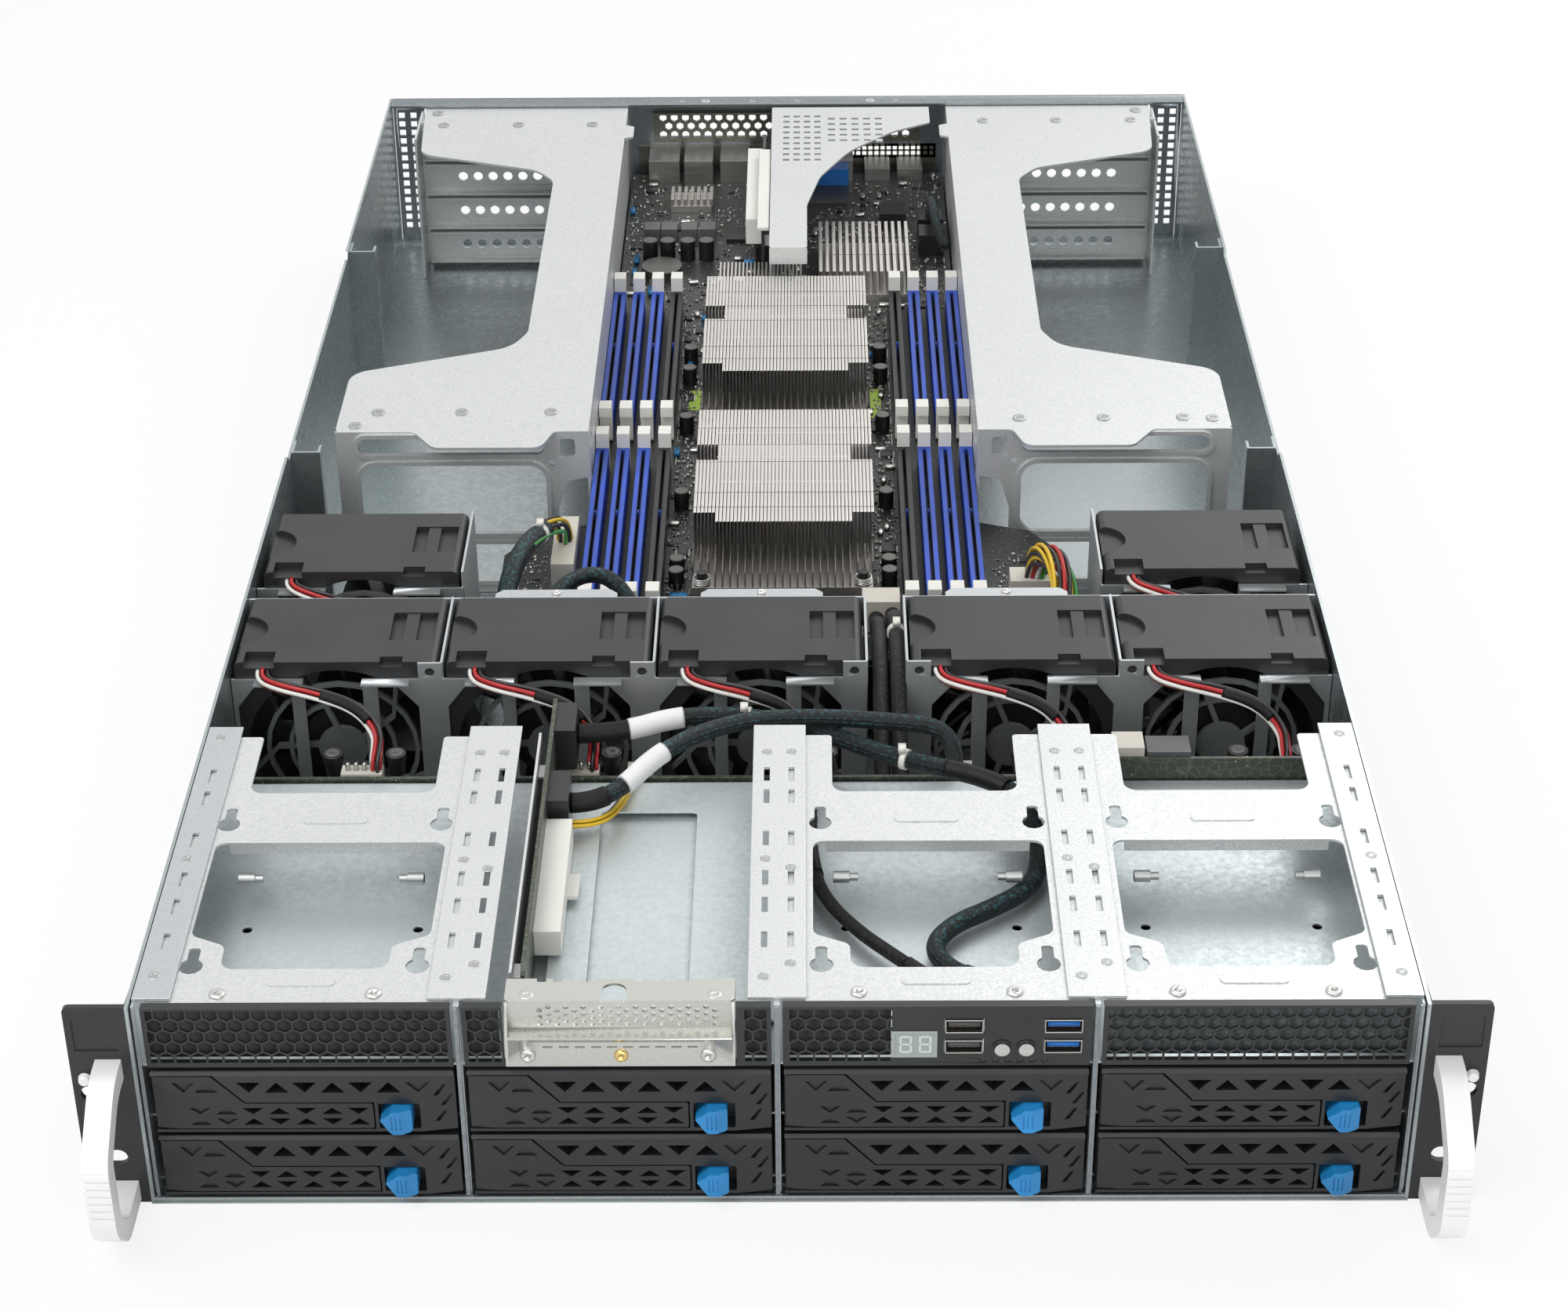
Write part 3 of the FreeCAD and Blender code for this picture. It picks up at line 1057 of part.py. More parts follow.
def centre_riser():
    """Central card bracket: arm with a sweeping edge, its board, and two low-profile blanks."""
    rear = CASE_D - 14.0
    arm = [(-8, rear - 182), (11, rear - 182), (11, rear - 130), (18, rear - 94), (34, rear - 60),
           (58, rear - 34), (78, rear - 22), (78, rear), (-8, rear)]
    holes = grid("Z", 0.0, rear - 72.0, 4, 9, 5.6, 7.4, 3.4, 2.4, CASE_H - 1.8)
    holes += grid("Z", 24.4, rear - 46.0, 5, 5, 6.4, 7.4, 3.8, 2.4, CASE_H - 1.8)
    plate_top = slab("Z", arm, CASE_H - 1.8, CASE_H - 0.8, [2, 2, 24, 40, 60, 30, 2, 0, 0], holes)
    nose = box(-8, 11, rear - 182, rear - 181, CASE_H - 10, CASE_H - 1.8)
    leg = box(-8, -7, rear - 176, rear, BOARD_TOP + 18, CASE_H - 1.8)
    board = box(-12.6, -11.0, rear - 138, rear - 30, BOARD_TOP + 12, 83.0)
    slot = box(-20.6, -12.6, rear - 134, rear - 42, 66.0, 80.0)
    stays = [box(-11.0, -8.0, y, y + 6.0, 66.0, 72.0) for y in (rear - 136.0, rear - 50.0)]
    socket = box(-16.0, -7.0, rear - 120, rear - 44, BOARD_TOP, BOARD_TOP + 12)
    blanks = []
    y = CASE_D - SHEET - THIN - CLEAR
    for x0, x1 in LOW_SLOTS:
        dots = []
        for row in range(3):
            for k in range(10):
                a = x0 + 5.2 + k * 6.2 + (3.1 if row % 2 else 0)
                dots.append(ngon("Y", a, LOW_SLOT_Z + 4.6 + row * 5.0, y, 2.2))
        face = plate("Y", y, y + THIN, frame("Y", x0, x1, LOW_SLOT_Z, LOW_SLOT_Z + 20.0, y), dots)
        lip = box(x0, x1, y - 7.0, y, LOW_SLOT_Z + 20.0 - THIN, LOW_SLOT_Z + 20.0)
        blanks.append(union([face, lip]))
    return [plate_top, nose, leg, board, slot, socket] + stays + blanks


# ---------------------------------------------------------------- cables

def bends(vectors):
    """Start, middle and end of the largest tangent arc that each corner of a route allows."""
    arcs = []
    for i in range(1, len(vectors) - 1):
        before = vectors[i - 1] - vectors[i]
        after = vectors[i + 1] - vectors[i]
        reach = 0.45 * min(before.Length, after.Length)
        half = before.getAngle(after) / 2.0
        before.normalize()
        after.normalize()
        radius = reach * math.tan(half)
        inward = before + after
        inward.normalize()
        middle = vectors[i] + inward * (radius / math.sin(half) - radius)
        arcs.append((vectors[i] + before * reach, middle, vectors[i] + after * reach))
    return arcs


def tube(points, diameter):
    """A cable of eight-sided section along straight runs joined by tangent arcs."""
    vectors = [Vector(*p) for p in points]
    edges = []
    last = vectors[0]
    for start, middle, end in bends(vectors):
        edges.append(Part.LineSegment(last, start).toShape())
        edges.append(Part.Arc(start, middle, end).toShape())
        last = end
    edges.append(Part.LineSegment(last, vectors[-1]).toShape())
    along = (vectors[1] - vectors[0]).normalize()
    across = along.cross(Vector(0.3, 0.2, 1.0)).normalize()
    upright = along.cross(across)
    corners = []
    for k in range(9):
        turn = 2 * math.pi * (k % 8) / 8
        corners.append(vectors[0] + (across * math.cos(turn) + upright * math.sin(turn)) * (diameter / 2.0))
    return Part.Wire(edges).makePipeShell([Part.makePolygon(corners)], True, False)


def braided_cables():
    """Sleeved looms, harnesses and fan leads, each held at both ends."""
    gap = fan_centre(2) + FAN_PITCH / 2.0 + CABLE_GAP / 2.0
    riser = bay_centre(1) - 24.4
    plug = BOARD_TOP + 13.0
    runs = [
        ([(riser, 182, 76), (riser + 16, 182, 76), (riser + 40, 190, 79), (riser + 68, 191, 78),
          (riser + 96, 183, 75.5), (riser + 122, 166, 75), (86, 150, 75), (95, 132, 70), (97, 112, 66.4),
          (92, 94, 66.2), (78, 82, 66.4), (62, 72, 66.2), (54, 58, 66.4), (62, 43, 66.6), (79, 37, 67.4),
          (92, 33, 69), (96.9, 22, 69.6), (96.9, 15.0, 69.6)], 7.0),
        ([(riser, 138, 74), (riser + 14, 138, 74), (riser + 34, 162, 82.6), (riser + 62, 180, 83.4),
          (riser + 94, 182, 83.4), (riser + 122, 182, 81), (61, 182, 79), (68, 181, 70), (68, 181, 58)], 7.0),
        ([(gap + 3.5, BOARD_Y + 21.6, 54), (gap + 3.5, 292, 54), (gap + 3.5, 272, 76), (gap + 3.5, 240, 80),
          (gap + 3.5, 210, 72), (gap + 3.6, 190, 55), (gap + 3.6, 173.6, 55)], 6.4),
        ([(gap - 3.5, BOARD_Y + 21.6, 52), (gap - 3.5, 290, 52), (gap - 3.5, 270, 74), (gap - 3.5, 238, 78),
          (gap - 3.5, 208, 70), (gap - 3.4, 189, 54), (gap - 3.4, 173.6, 54)], 6.4),
        ([(-96, 363, plug), (-96, 363, plug + 8), (-101, 350, 72), (-109, 332, 75), (-115, 312, 72),
          (-117, 293, 63), (-116, 279, 50), (-115, 276.6, 34), (-113, 276.8, 20), (-108, 288, 10),
          (-98, 297, 8), (-86.4, 297, 8)], 8.0),
        ([(-104, 277.6, 62), (-96, 288, 68), (-84, 293, 69), (-70, 294, 65), (-61, 291, 58),
          (-57.6, 281, 51), (-57, 276.8, 36), (-56.6, 276.6, 16), (-56.6, 276.6, SHEET)], 6.0),
        ([(109, 332, plug), (109, 332, plug + 8), (113, 322, 74), (117, 308, 76), (119, 294, 70),
          (118, 281, 58), (116, 276.6, 42), (113, 276.8, 24), (108, 288, 11), (98, 297, 8),
          (86.4, 297, 8)], 8.0),
        ([(20.5, 173.6, 56), (20.5, 180, 56), (19, 183, 64), (16, 176, 71), (13, 158, 68.6), (11, 136, 65.6),
          (12, 112, 65.4), (16, 90, 65.6), (28, 70, 65.4), (42, 54, 65.6), (56, 38, 66), (63.3, 26, 69.6),
          (63.3, 15.0, 69.6)], 5.0),
        ([(82.2, 655, 62), (78.6, 668, 67), (77.0, 686, 71), (76.6, 700, 69), (76.5, 709, 63),
          (76.5, 709, BOARD_TOP + 12.0)], 5.0),
        ([(riser, 131, 69), (-70, 131, 69), (-63, 141, 67), (-58, 156, 67), (-56, 169, 68),
          (-55, 181, 66), (-55, 181, 58)], 3.6),
    ]
    for x, y in fan_positions()[:FANS]:
        runs.append(([(x - 29, y, 81.4), (x - 29, y - 6, 81.4), (x - 20, y - 14, 83.0), (x - 4, y - 18, 82),
                      (x + 11, y - 21, 78), (x + 19.5, y - 28, 71), (x + 19.6, y - 36, 67.5),
                      (x + 19.5, y - 41.6, 66.5), (x + 19.5, y - 41.6, 63.0)], 3.4))
    for x, y in fan_positions()[FANS:]:
        runs.append(([(x - 29, y, 81.4), (x - 29, y - 5, 81.4), (x - 19, y - 11, 81), (x - 2, y - 12, 76),
                      (x + 12, y - 12, 67), (x + 22, y - 12, 52), (x + 24, y - 12, 36),
                      (x + 24, y - 12, SHEET)], 3.4))
    return [tube(points, diameter) for points, diameter in runs]


def main():
    """Build every node."""
    os.makedirs("parts", exist_ok=True)
    export("base_pan", base_pan())
    export("rear_panel", rear_panel())
    export("drive_cage", drive_cage())
    export("bay_covers", bay_covers())
    for row, level in enumerate(("low", "top")):
        for column in range(COLUMNS):
            label = level + "_" + str(column + 1)
            export("tray_" + label, tray(column, row))
            export("lever_" + label, [lever(column, row)])
            export("latch_" + label, [latch(column, row)])
    export("front_panels", [vent_panel(0), slot_panel(), vent_panel(3)])
    export("control_panel", control_panel())
    export("power_button", [button(74.4)])
    export("id_button", [button(82.6)])
    export("port_shells", port_shells())
    export("front_bracket", front_bracket())
    export("rack_ears", both_sides(rack_ear()))
    export("rack_handles", both_sides(rack_handle()))
    places = fan_positions()
    export("fan_frames", [fan_frame(x, y) for x, y in places])
    for number, (x, y) in enumerate(places):
        export("fan_rotor_" + str(number + 1), [fan_rotor(x, y)])
    export("fan_cage", fan_cage())
    export("backplane", backplane())
    export("front_riser", front_riser())
    export("motherboard", motherboard())
    export("power_supply_1", [power_supply(-1)])
    export("power_supply_2", [power_supply(1)])
    export("dimm_slots", dimm_slots())
    for row in range(4):
        export("dimm_latches_" + str(row + 1), dimm_latches(row))
    export("heatsinks", heatsinks())
    export("board_parts", board_parts())
    export("gpu_cages", both_sides(gpu_cage()) + slot_blanks())
    export("centre_riser", centre_riser())
    export("braided_cables", braided_cables())


main()
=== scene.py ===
import math
import random

import bmesh
import bpy
from mathutils import Matrix, Vector


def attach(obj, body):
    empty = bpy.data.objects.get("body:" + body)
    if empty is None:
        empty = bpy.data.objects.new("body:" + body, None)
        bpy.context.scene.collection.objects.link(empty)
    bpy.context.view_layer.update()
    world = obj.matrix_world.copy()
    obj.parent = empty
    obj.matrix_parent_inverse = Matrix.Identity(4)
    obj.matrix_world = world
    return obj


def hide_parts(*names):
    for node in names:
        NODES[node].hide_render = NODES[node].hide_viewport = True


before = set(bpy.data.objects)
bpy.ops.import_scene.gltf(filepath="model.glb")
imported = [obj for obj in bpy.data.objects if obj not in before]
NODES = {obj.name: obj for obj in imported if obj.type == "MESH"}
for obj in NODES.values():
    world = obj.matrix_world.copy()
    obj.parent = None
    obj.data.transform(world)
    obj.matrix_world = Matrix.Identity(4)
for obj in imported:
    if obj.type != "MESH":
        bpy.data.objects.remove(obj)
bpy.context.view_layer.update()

# Sizes in millimetres, in the case's own terms: X across, Y from the front face, Z up.
# COVER_TOP and CAGE_TOP are the sheets that rivet heads lie on.
MM = 0.001
FRONT_Y = -0.382
BAY_PITCH = 108.4
BAYS = 4
TRAY_W = 104.0
ROW_Z = {"low": 4.0, "top": 32.5}
CASE_D = 800.0
BOARD_TOP = 44.6
FAN_PITCH = 84.32
FAN_LEFT = -218.8
CABLE_GAP = 16.0
FAN_Y = 218.6
FAN_D = 48.6
REAR_FAN_Y = 288.5
SINK_W = 78.0
SINK_TOP = 74.0
SINK_STEP = 25.0
SINK_L = 104.0
SINK_Y = (402.0, 545.0)
GAP_X = 43.3
COVER_TOP = 86.9
CAGE_TOP = 85.4
MEMORY_Y = (381.4, 547.3)
EDGE_WIDTH = 0.12
WORLD_LIGHT = 0.42
FLOOR_GLOW = 0.82


def at(x, y, z):
    """A point of the case in the row frame, in metres."""
    return Vector((x * MM, y * MM + FRONT_Y, z * MM))


def bay(column):
    """X of the middle of a drive column."""
    return (column - (BAYS - 1) / 2.0) * BAY_PITCH


def fan_x(index):
    """X of a front fan."""
    x = FAN_LEFT + (index + 0.5) * FAN_PITCH
    return x + CABLE_GAP if index > 2 else x


# ---------------------------- materials

class Graph:
    """A material's node tree, built with short calls."""

    def __init__(self, name):
        self.material = bpy.data.materials.new(name)
        self.material.use_nodes = True
        self.tree = self.material.node_tree
        self.shader = self.tree.nodes["Principled BSDF"]

    def node(self, kind, **values):
        made = self.tree.nodes.new(kind)
        for key, value in values.items():
            if hasattr(made, key):
                setattr(made, key, value)
            else:
                made.inputs[key.replace("_", " ")].default_value = value
        return made

    def link(self, source, target):
        self.tree.links.new(source, target)

    def feed(self, source, socket):
        """Set a socket from a number, a colour or another node's output."""
        if isinstance(source, (int, float)):
            socket.default_value = source
        elif isinstance(source, tuple):
            socket.default_value = (*source, 1)
        else:
            self.link(source, socket)

    def calc(self, operation, *terms):
        """One sum; each term is a number or an output."""
        made = self.node("ShaderNodeMath", operation=operation)
        for term, socket in zip(terms, made.inputs):
            self.feed(term, socket)
        return made.outputs[0]

    def place(self):
        """Object coordinates, which stay with a piece when it moves."""
        return self.node("ShaderNodeTexCoord").outputs["Object"]

    def noise(self, scale, detail=3.0, vector=None, rough=0.55):
        made = self.node("ShaderNodeTexNoise", Scale=scale, Detail=detail, Roughness=rough)
        self.link(vector or self.place(), made.inputs["Vector"])
        return made.outputs["Fac"]

    def stretched(self, factors):
        made = self.node("ShaderNodeVectorMath", operation="MULTIPLY")
        self.link(self.place(), made.inputs[0])
        made.inputs[1].default_value = factors
        return made.outputs[0]

    def ramp(self, source, low, high, colour_a, colour_b):
        made = self.node("ShaderNodeValToRGB")
        stops = made.color_ramp.elements
        stops[0].position, stops[1].position = low, high
        stops[0].color = (*colour_a, 1)
        stops[1].color = (*colour_b, 1)
        self.link(source, made.inputs["Fac"])
        return made.outputs["Color"]

    def span(self, source, low, high, to_low, to_high):
        made = self.node("ShaderNodeMapRange")
        for index, value in enumerate((low, high, to_low, to_high)):
            made.inputs[index + 1].default_value = value
        self.link(source, made.inputs[0])
        return made.outputs[0]

    def mix(self, fac, a, b, blend="MIX"):
        made = self.node("ShaderNodeMix", data_type="RGBA", blend_type=blend)
        for source, index in ((fac, 0), (a, 6), (b, 7)):
            self.feed(source, made.inputs[index])
        return made.outputs[2]

    def bump(self, height, distance, strength=1.0):
        made = self.node("ShaderNodeBump", Distance=distance, Strength=strength)
        self.link(height, made.inputs["Height"])
        self.link(made.outputs["Normal"], self.shader.inputs["Normal"])

    def set(self, **values):
        names = {"metal": "Metallic", "rough": "Roughness", "coat": "Coat Weight", "ior": "IOR",
                 "glass": "Transmission Weight", "alpha": "Alpha", "specular": "Specular IOR Level"}
        for key, value in values.items():
            self.shader.inputs[names[key]].default_value = value

    def colour(self, source):
        self.feed(source, self.shader.inputs["Base Color"])

    def roughness(self, source):
        self.link(source, self.shader.inputs["Roughness"])


def zinc(name, light, dark, grain=900.0, metal=0.75, low=0.34, high=0.5):
    """Zinc-coated sheet with fine crystalline speckle and faint handling marks."""
    g = Graph(name)
    speck = g.noise(grain, 4.0, rough=0.7)
    cloud = g.noise(14.0, 3.0)
    base = g.ramp(speck, 0.38, 0.62, dark, light)
    shade = g.ramp(cloud, 0.3, 0.7, tuple(c * 0.93 for c in light), light)
    g.colour(g.mix(0.45, base, shade, "MULTIPLY"))
    g.roughness(g.span(speck, 0.35, 0.65, high, low))
    g.bump(speck, 0.00006, 0.35)
    g.set(metal=metal)
    return g.material


def plastic(name, colour, rough=0.45, grain=2600.0, depth=0.00002, spread=0.25, metal=0.0,
            specular=0.5):
    """Moulded plastic or powder coat with fine grain and slight colour drift."""
    g = Graph(name)
    fine = g.noise(grain, 2.0)
    cloud = g.noise(25.0, 3.0)
    low = tuple(c * (1 - spread) for c in colour)
    high = tuple(min(1.0, c * (1 + spread)) for c in colour)
    g.colour(g.ramp(cloud, 0.3, 0.7, low, high))
    g.roughness(g.span(fine, 0.3, 0.7, rough + 0.07, rough - 0.06))
    g.bump(fine, depth, 0.5)
    g.set(metal=metal, specular=specular)
    return g.material


def polished(name, colour, rough=0.25, streak=(30.0, 900.0, 900.0)):
    """Bare metal with fine drawn lines."""
    g = Graph(name)
    lines = g.noise(1.0, 3.0, g.stretched(streak))
    g.colour(g.ramp(lines, 0.3, 0.7, tuple(c * 0.86 for c in colour), colour))
    g.roughness(g.span(lines, 0.3, 0.7, rough + 0.1, rough - 0.05))
    g.bump(lines, 0.00002, 0.3)
    g.set(metal=1.0)
    return g.material


def circuit(name, mask, trace):
    """Solder mask over fine tracks, with pads and vias."""
    g = Graph(name)
    cells = g.node("ShaderNodeTexVoronoi", feature="DISTANCE_TO_EDGE", distance="MANHATTAN", Scale=260.0)
    dots = g.node("ShaderNodeTexVoronoi", feature="F1", Scale=420.0)
    for pattern in (cells, dots):
        g.link(g.place(), pattern.inputs["Vector"])
    tracks = g.ramp(cells.outputs["Distance"], 0.03, 0.07, trace, mask)
    vias = g.ramp(dots.outputs["Distance"], 0.13, 0.17, (0.45, 0.42, 0.33), (0, 0, 0))
    patch = g.span(g.noise(60.0, 2.0), 0.45, 0.6, 0.0, 0.8)
    g.colour(g.mix(patch, tracks, vias, "ADD"))
    g.bump(cells.outputs["Distance"], 0.00004, 0.4)
    g.set(rough=0.38)
    return g.material


def braid(name, body, fleck):
    """Woven cable sleeve with coloured tracer threads, laid out along the cable."""
    g = Graph(name)
    lay = g.node("ShaderNodeAttribute", attribute_name="lay")
    parts = g.node("ShaderNodeSeparateXYZ")
    g.link(lay.outputs["Vector"], parts.inputs[0])
    around, along = parts.outputs["X"], parts.outputs["Y"]
    waves = []
    for turns in (10.0, -10.0):
        angle = g.calc("MULTIPLY_ADD", along, turns, around)
        waves.append(g.calc("SINE", g.calc("MULTIPLY", angle, 2 * math.pi)))
    weave = g.calc("MULTIPLY", *waves)
    cloud = g.noise(700.0, 2.0)
    spots = g.calc("MULTIPLY", g.span(weave, 0.1, 0.6, 0.0, 1.0), g.span(cloud, 0.5, 0.62, 0.0, 1.0))
    g.colour(g.mix(spots, body, fleck))
    g.bump(weave, 0.0004, 0.9)
    g.set(rough=0.5)
    return g.material


def wire(name, colour, rough=0.35, spread=0.05):
    """Insulation of a single wire."""
    return plastic("wire_" + name, colour, rough, spread=spread)


STEEL = zinc("steel_sheet", (0.40, 0.43, 0.45), (0.31, 0.34, 0.36), 420.0, 0.85, 0.26, 0.38)
PAN = zinc("pan_sheet", (0.56, 0.60, 0.61), (0.50, 0.54, 0.55), 300.0, 0.85, 0.24, 0.34)
CAGE = zinc("cage_sheet", (0.66, 0.68, 0.69), (0.56, 0.59, 0.60), 900.0, 0.7, 0.3, 0.44)
ZINC = zinc("zinc_sheet", (0.78, 0.79, 0.785), (0.62, 0.64, 0.64), 1000.0, 0.5, 0.36, 0.52)
SHELF = zinc("shelf_sheet", (0.70, 0.745, 0.755), (0.60, 0.65, 0.66), 420.0, 0.6, 0.36, 0.5)
NICKEL = polished("nickel", (0.62, 0.62, 0.60), 0.3)
BRACKET = zinc("bracket_sheet", (0.70, 0.70, 0.67), (0.62, 0.62, 0.59), 1600.0, 0.85, 0.24, 0.34)
BLANK = zinc("blank_sheet", (0.34, 0.33, 0.29), (0.26, 0.25, 0.22), 700.0, 0.85, 0.3, 0.42)
PORT_METAL = polished("port_shell", (0.42, 0.41, 0.39), 0.36)
RIVET = polished("rivet_head", (0.44, 0.45, 0.45), 0.42)
# The metal screen behind the fourth vent is a real sheet, made much darker than steel: painted shade from the
# shadowed bay behind it.
SHADED_SCREEN = zinc("shaded_screen_sheet", (0.16, 0.175, 0.18), (0.10, 0.11, 0.115), 500.0, 0.8, 0.3, 0.4)
BLACK = plastic("black_plastic", (0.022, 0.022, 0.024), 0.42)
PANEL = plastic("black_panel", (0.016, 0.017, 0.018), 0.34, 1800.0, 0.00004)
ROTOR = plastic("rotor_plastic", (0.012, 0.012, 0.013), 0.5)
POWDER = plastic("black_powder", (0.018, 0.018, 0.02), 0.5, 1500.0, 0.00005)
CAST = plastic("cast_silver", (0.88, 0.88, 0.88), 0.42, 1800.0, 0.00003, 0.03, 0.12)
BLUE = plastic("latch_blue", (0.016, 0.235, 0.56), 0.33)
SLOT_BLUE = plastic("slot_blue", (0.02, 0.075, 0.46), 0.36)
SLOT_BLACK = plastic("slot_black", (0.014, 0.014, 0.015), 0.4)
WHITE = plastic("white_plastic", (0.78, 0.77, 0.72), 0.4, spread=0.03)
IVORY = plastic("ivory_plastic", (0.60, 0.57, 0.50), 0.45, spread=0.04)
LABEL = plastic("label_paper", (0.80, 0.80, 0.80), 0.55, 900.0, 0.00001, 0.02)
GREEN = plastic("green_sticker", (0.42, 0.62, 0.08), 0.5, spread=0.04)
GREY = plastic("grey_plastic", (0.10, 0.10, 0.105), 0.45)
GUARD = plastic("guard_grey", (0.13, 0.14, 0.14), 0.4)
FINS = polished("fin_metal", (0.70, 0.675, 0.64), 0.34, (900.0, 30.0, 900.0))
# A darker copy of the fin metal, for painted shade on the lower front step and the base plate of the coolers.
SHADED_STEP_FINS = polished("shaded_step_fin_metal", (0.50, 0.48, 0.45), 0.35, (900.0, 30.0, 900.0))
BOARD = circuit("board_mask", (0.020, 0.021, 0.020), (0.05, 0.053, 0.05))
RISER = circuit("riser_mask", (0.045, 0.055, 0.04), (0.10, 0.11, 0.08))
CHIP = plastic("chip", (0.014, 0.014, 0.014), 0.3)
SLEEVE = plastic("shrink_sleeve", (0.007, 0.007, 0.007), 0.5, 500.0, 0.00005, specular=0.22)
BRAID = braid("braided_sleeve", (0.012, 0.015, 0.016), (0.06, 0.24, 0.28))
DARK_BRAID = braid("dark_braid", (0.012, 0.012, 0.012), (0.085, 0.08, 0.07))
GLASS = plastic("display_face", (0.33, 0.37, 0.365), 0.15, spread=0.03)
DIGIT = plastic("display_digit", (0.62, 0.66, 0.65), 0.2, spread=0.02)
PORT_BLUE = plastic("port_blue", (0.01, 0.16, 0.55), 0.3)
PORT_DARK = plastic("port_dark", (0.02, 0.02, 0.02), 0.35)
GOLD = polished("gold", (0.75, 0.55, 0.22), 0.3)
TIN = polished("tin", (0.62, 0.62, 0.60), 0.3)
CAP_TOP = polished("cap_top", (0.17, 0.17, 0.16), 0.4)
RED = wire("red", (0.45, 0.012, 0.015))
BROWN = wire("brown", (0.24, 0.075, 0.05), 0.4)
WIRE_WHITE = wire("white", (0.75, 0.74, 0.70), spread=0.03)
WIRE_BLACK = wire("black", (0.014, 0.014, 0.014))
YELLOW = wire("yellow", (0.72, 0.48, 0.02))
WIRE_GREEN = wire("green", (0.05, 0.30, 0.06), 0.4)
WIRE_BLUE = wire("blue", (0.02, 0.22, 0.50), 0.4)

for thing in NODES.values():
    thing.data.materials.clear()


def soften(thing, width=0.15):
    """Rounded edges and smooth shading, for highlights along folds and corners."""
    weld = thing.modifiers.new("weld", "WELD")
    weld.merge_threshold = 0.000005
    if width:
        bevel = thing.modifiers.new("edges", "BEVEL")
        bevel.width = width * MM
        bevel.segments = 2
        bevel.limit_method = "ANGLE"
        bevel.angle_limit = math.radians(30.0)
        bevel.harden_normals = False
    thing.data.shade_smooth()
    sharp = thing.modifiers.new("normals", "WEIGHTED_NORMAL")
    sharp.keep_sharp = False


def dress(node, material, width=0.15):
    """Give a CAD node its finish and softened edges."""
    thing = NODES[node]
    thing.data.materials.clear()
    thing.data.materials.append(material)
    soften(thing, width)


def piece(name, mesh, material, node=None, width=0.0):
    """Turn a bmesh into a piece of the fixed case, with the CAD node that it stands in for."""
    data = bpy.data.meshes.new(name)
    mesh.to_mesh(data)
    mesh.free()
    thing = bpy.data.objects.new(name, data)
    bpy.context.scene.collection.objects.link(thing)
    data.materials.append(material)
    soften(thing, width)
    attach(thing, "root")
    if node:
        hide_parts(node)


def make(name, mesh, material, node=None, width=0.0):
    """A piece from a bmesh whose faces may still point either way."""
    bmesh.ops.recalc_face_normals(mesh, faces=mesh.faces)
    piece(name, mesh, material, node, width)


def regroup(node, choose):
    """Stand separate pieces in for a node of several solids; choose names and finishes each solid."""
    source = bmesh.new()
    source.from_mesh(NODES[node].data)
    bmesh.ops.remove_doubles(source, verts=source.verts, dist=0.000005)
    source.verts.ensure_lookup_table()
    seen = set()
    groups = {}
    for start in source.verts:
        if start.index in seen:
            continue
        island, stack = [], [start]
        seen.add(start.index)
        while stack:
            vert = stack.pop()
            island.append(vert)
            for edge in vert.link_edges:
                other = edge.other_vert(vert)
                if other.index not in seen:
                    seen.add(other.index)
                    stack.append(other)
        low = Vector([min(v.co[k] for v in island) for k in range(3)])
        high = Vector([max(v.co[k] for v in island) for k in range(3)])
        centre = (low + high) / 2
        centre_mm = (centre.x / MM, (centre.y - FRONT_Y) / MM, centre.z / MM)
        size_mm = tuple((high - low) / MM)
        name, material = choose(centre_mm, size_mm)
        groups.setdefault(name, (material, []))[1].append(island)
    for name, (material, islands) in groups.items():
        target = bmesh.new()
        for island in islands:
            copies = {v.index: target.verts.new(v.co) for v in island}
            faces = {f for v in island for f in v.link_faces}
            for face in sorted(faces, key=lambda f: f.index):
                target.faces.new([copies[v.index] for v in face.verts])
        target.normal_update()
        piece(name, target, material, node, 0.15)
    source.free()


# ---------------------------- stage, light and camera

def world_light():
    """Soft white surroundings: white to the camera and in reflections, dimmer as light."""
    world = bpy.data.worlds.new("studio")
    bpy.context.scene.world = world
    world.use_nodes = True
    tree = world.node_tree
    back = tree.nodes["Background"]
    path = tree.nodes.new("ShaderNodeLightPath")
    seen = path.outputs["Is Camera Ray"]
    for ray in ("Is Transmission Ray", "Is Glossy Ray"):
        either = tree.nodes.new("ShaderNodeMath")
        either.operation = "MAXIMUM"
        tree.links.new(seen, either.inputs[0])
        tree.links.new(path.outputs[ray], either.inputs[1])
        seen = either.outputs[0]
    strength = tree.nodes.new("ShaderNodeMapRange")
    strength.inputs[3].default_value = WORLD_LIGHT
    strength.inputs[4].default_value = 1.0
    tree.links.new(seen, strength.inputs[0])
    tree.links.new(strength.outputs[0], back.inputs["Strength"])
    back.inputs["Color"].default_value = (1, 1, 1, 1)


def floor():
    """Pale floor that shows white and keeps a soft shadow."""
    data = bpy.data.meshes.new("studio_floor")
    reach = 6.0
    level = -0.0006
    data.from_pydata([(-reach, -reach, level), (reach, -reach, level), (reach, reach, level),
                      (-reach, reach, level)], [], [(0, 1, 2, 3)])
    thing = bpy.data.objects.new("studio_floor", data)
    bpy.context.scene.collection.objects.link(thing)
    g = Graph("studio_floor")
    g.colour((0.90, 0.90, 0.90))
    g.set(rough=0.9)
    glow = g.node("ShaderNodeEmission", Strength=1.0)
    path = g.node("ShaderNodeLightPath")
    share = g.calc("MULTIPLY", path.outputs["Is Camera Ray"], FLOOR_GLOW)
    blend = g.node("ShaderNodeMixShader")
    for source, socket in zip((share, g.shader.outputs[0], glow.outputs[0]), blend.inputs):
        g.link(source, socket)
    g.link(blend.outputs[0], g.tree.nodes["Material Output"].inputs["Surface"])
    data.materials.append(g.material)


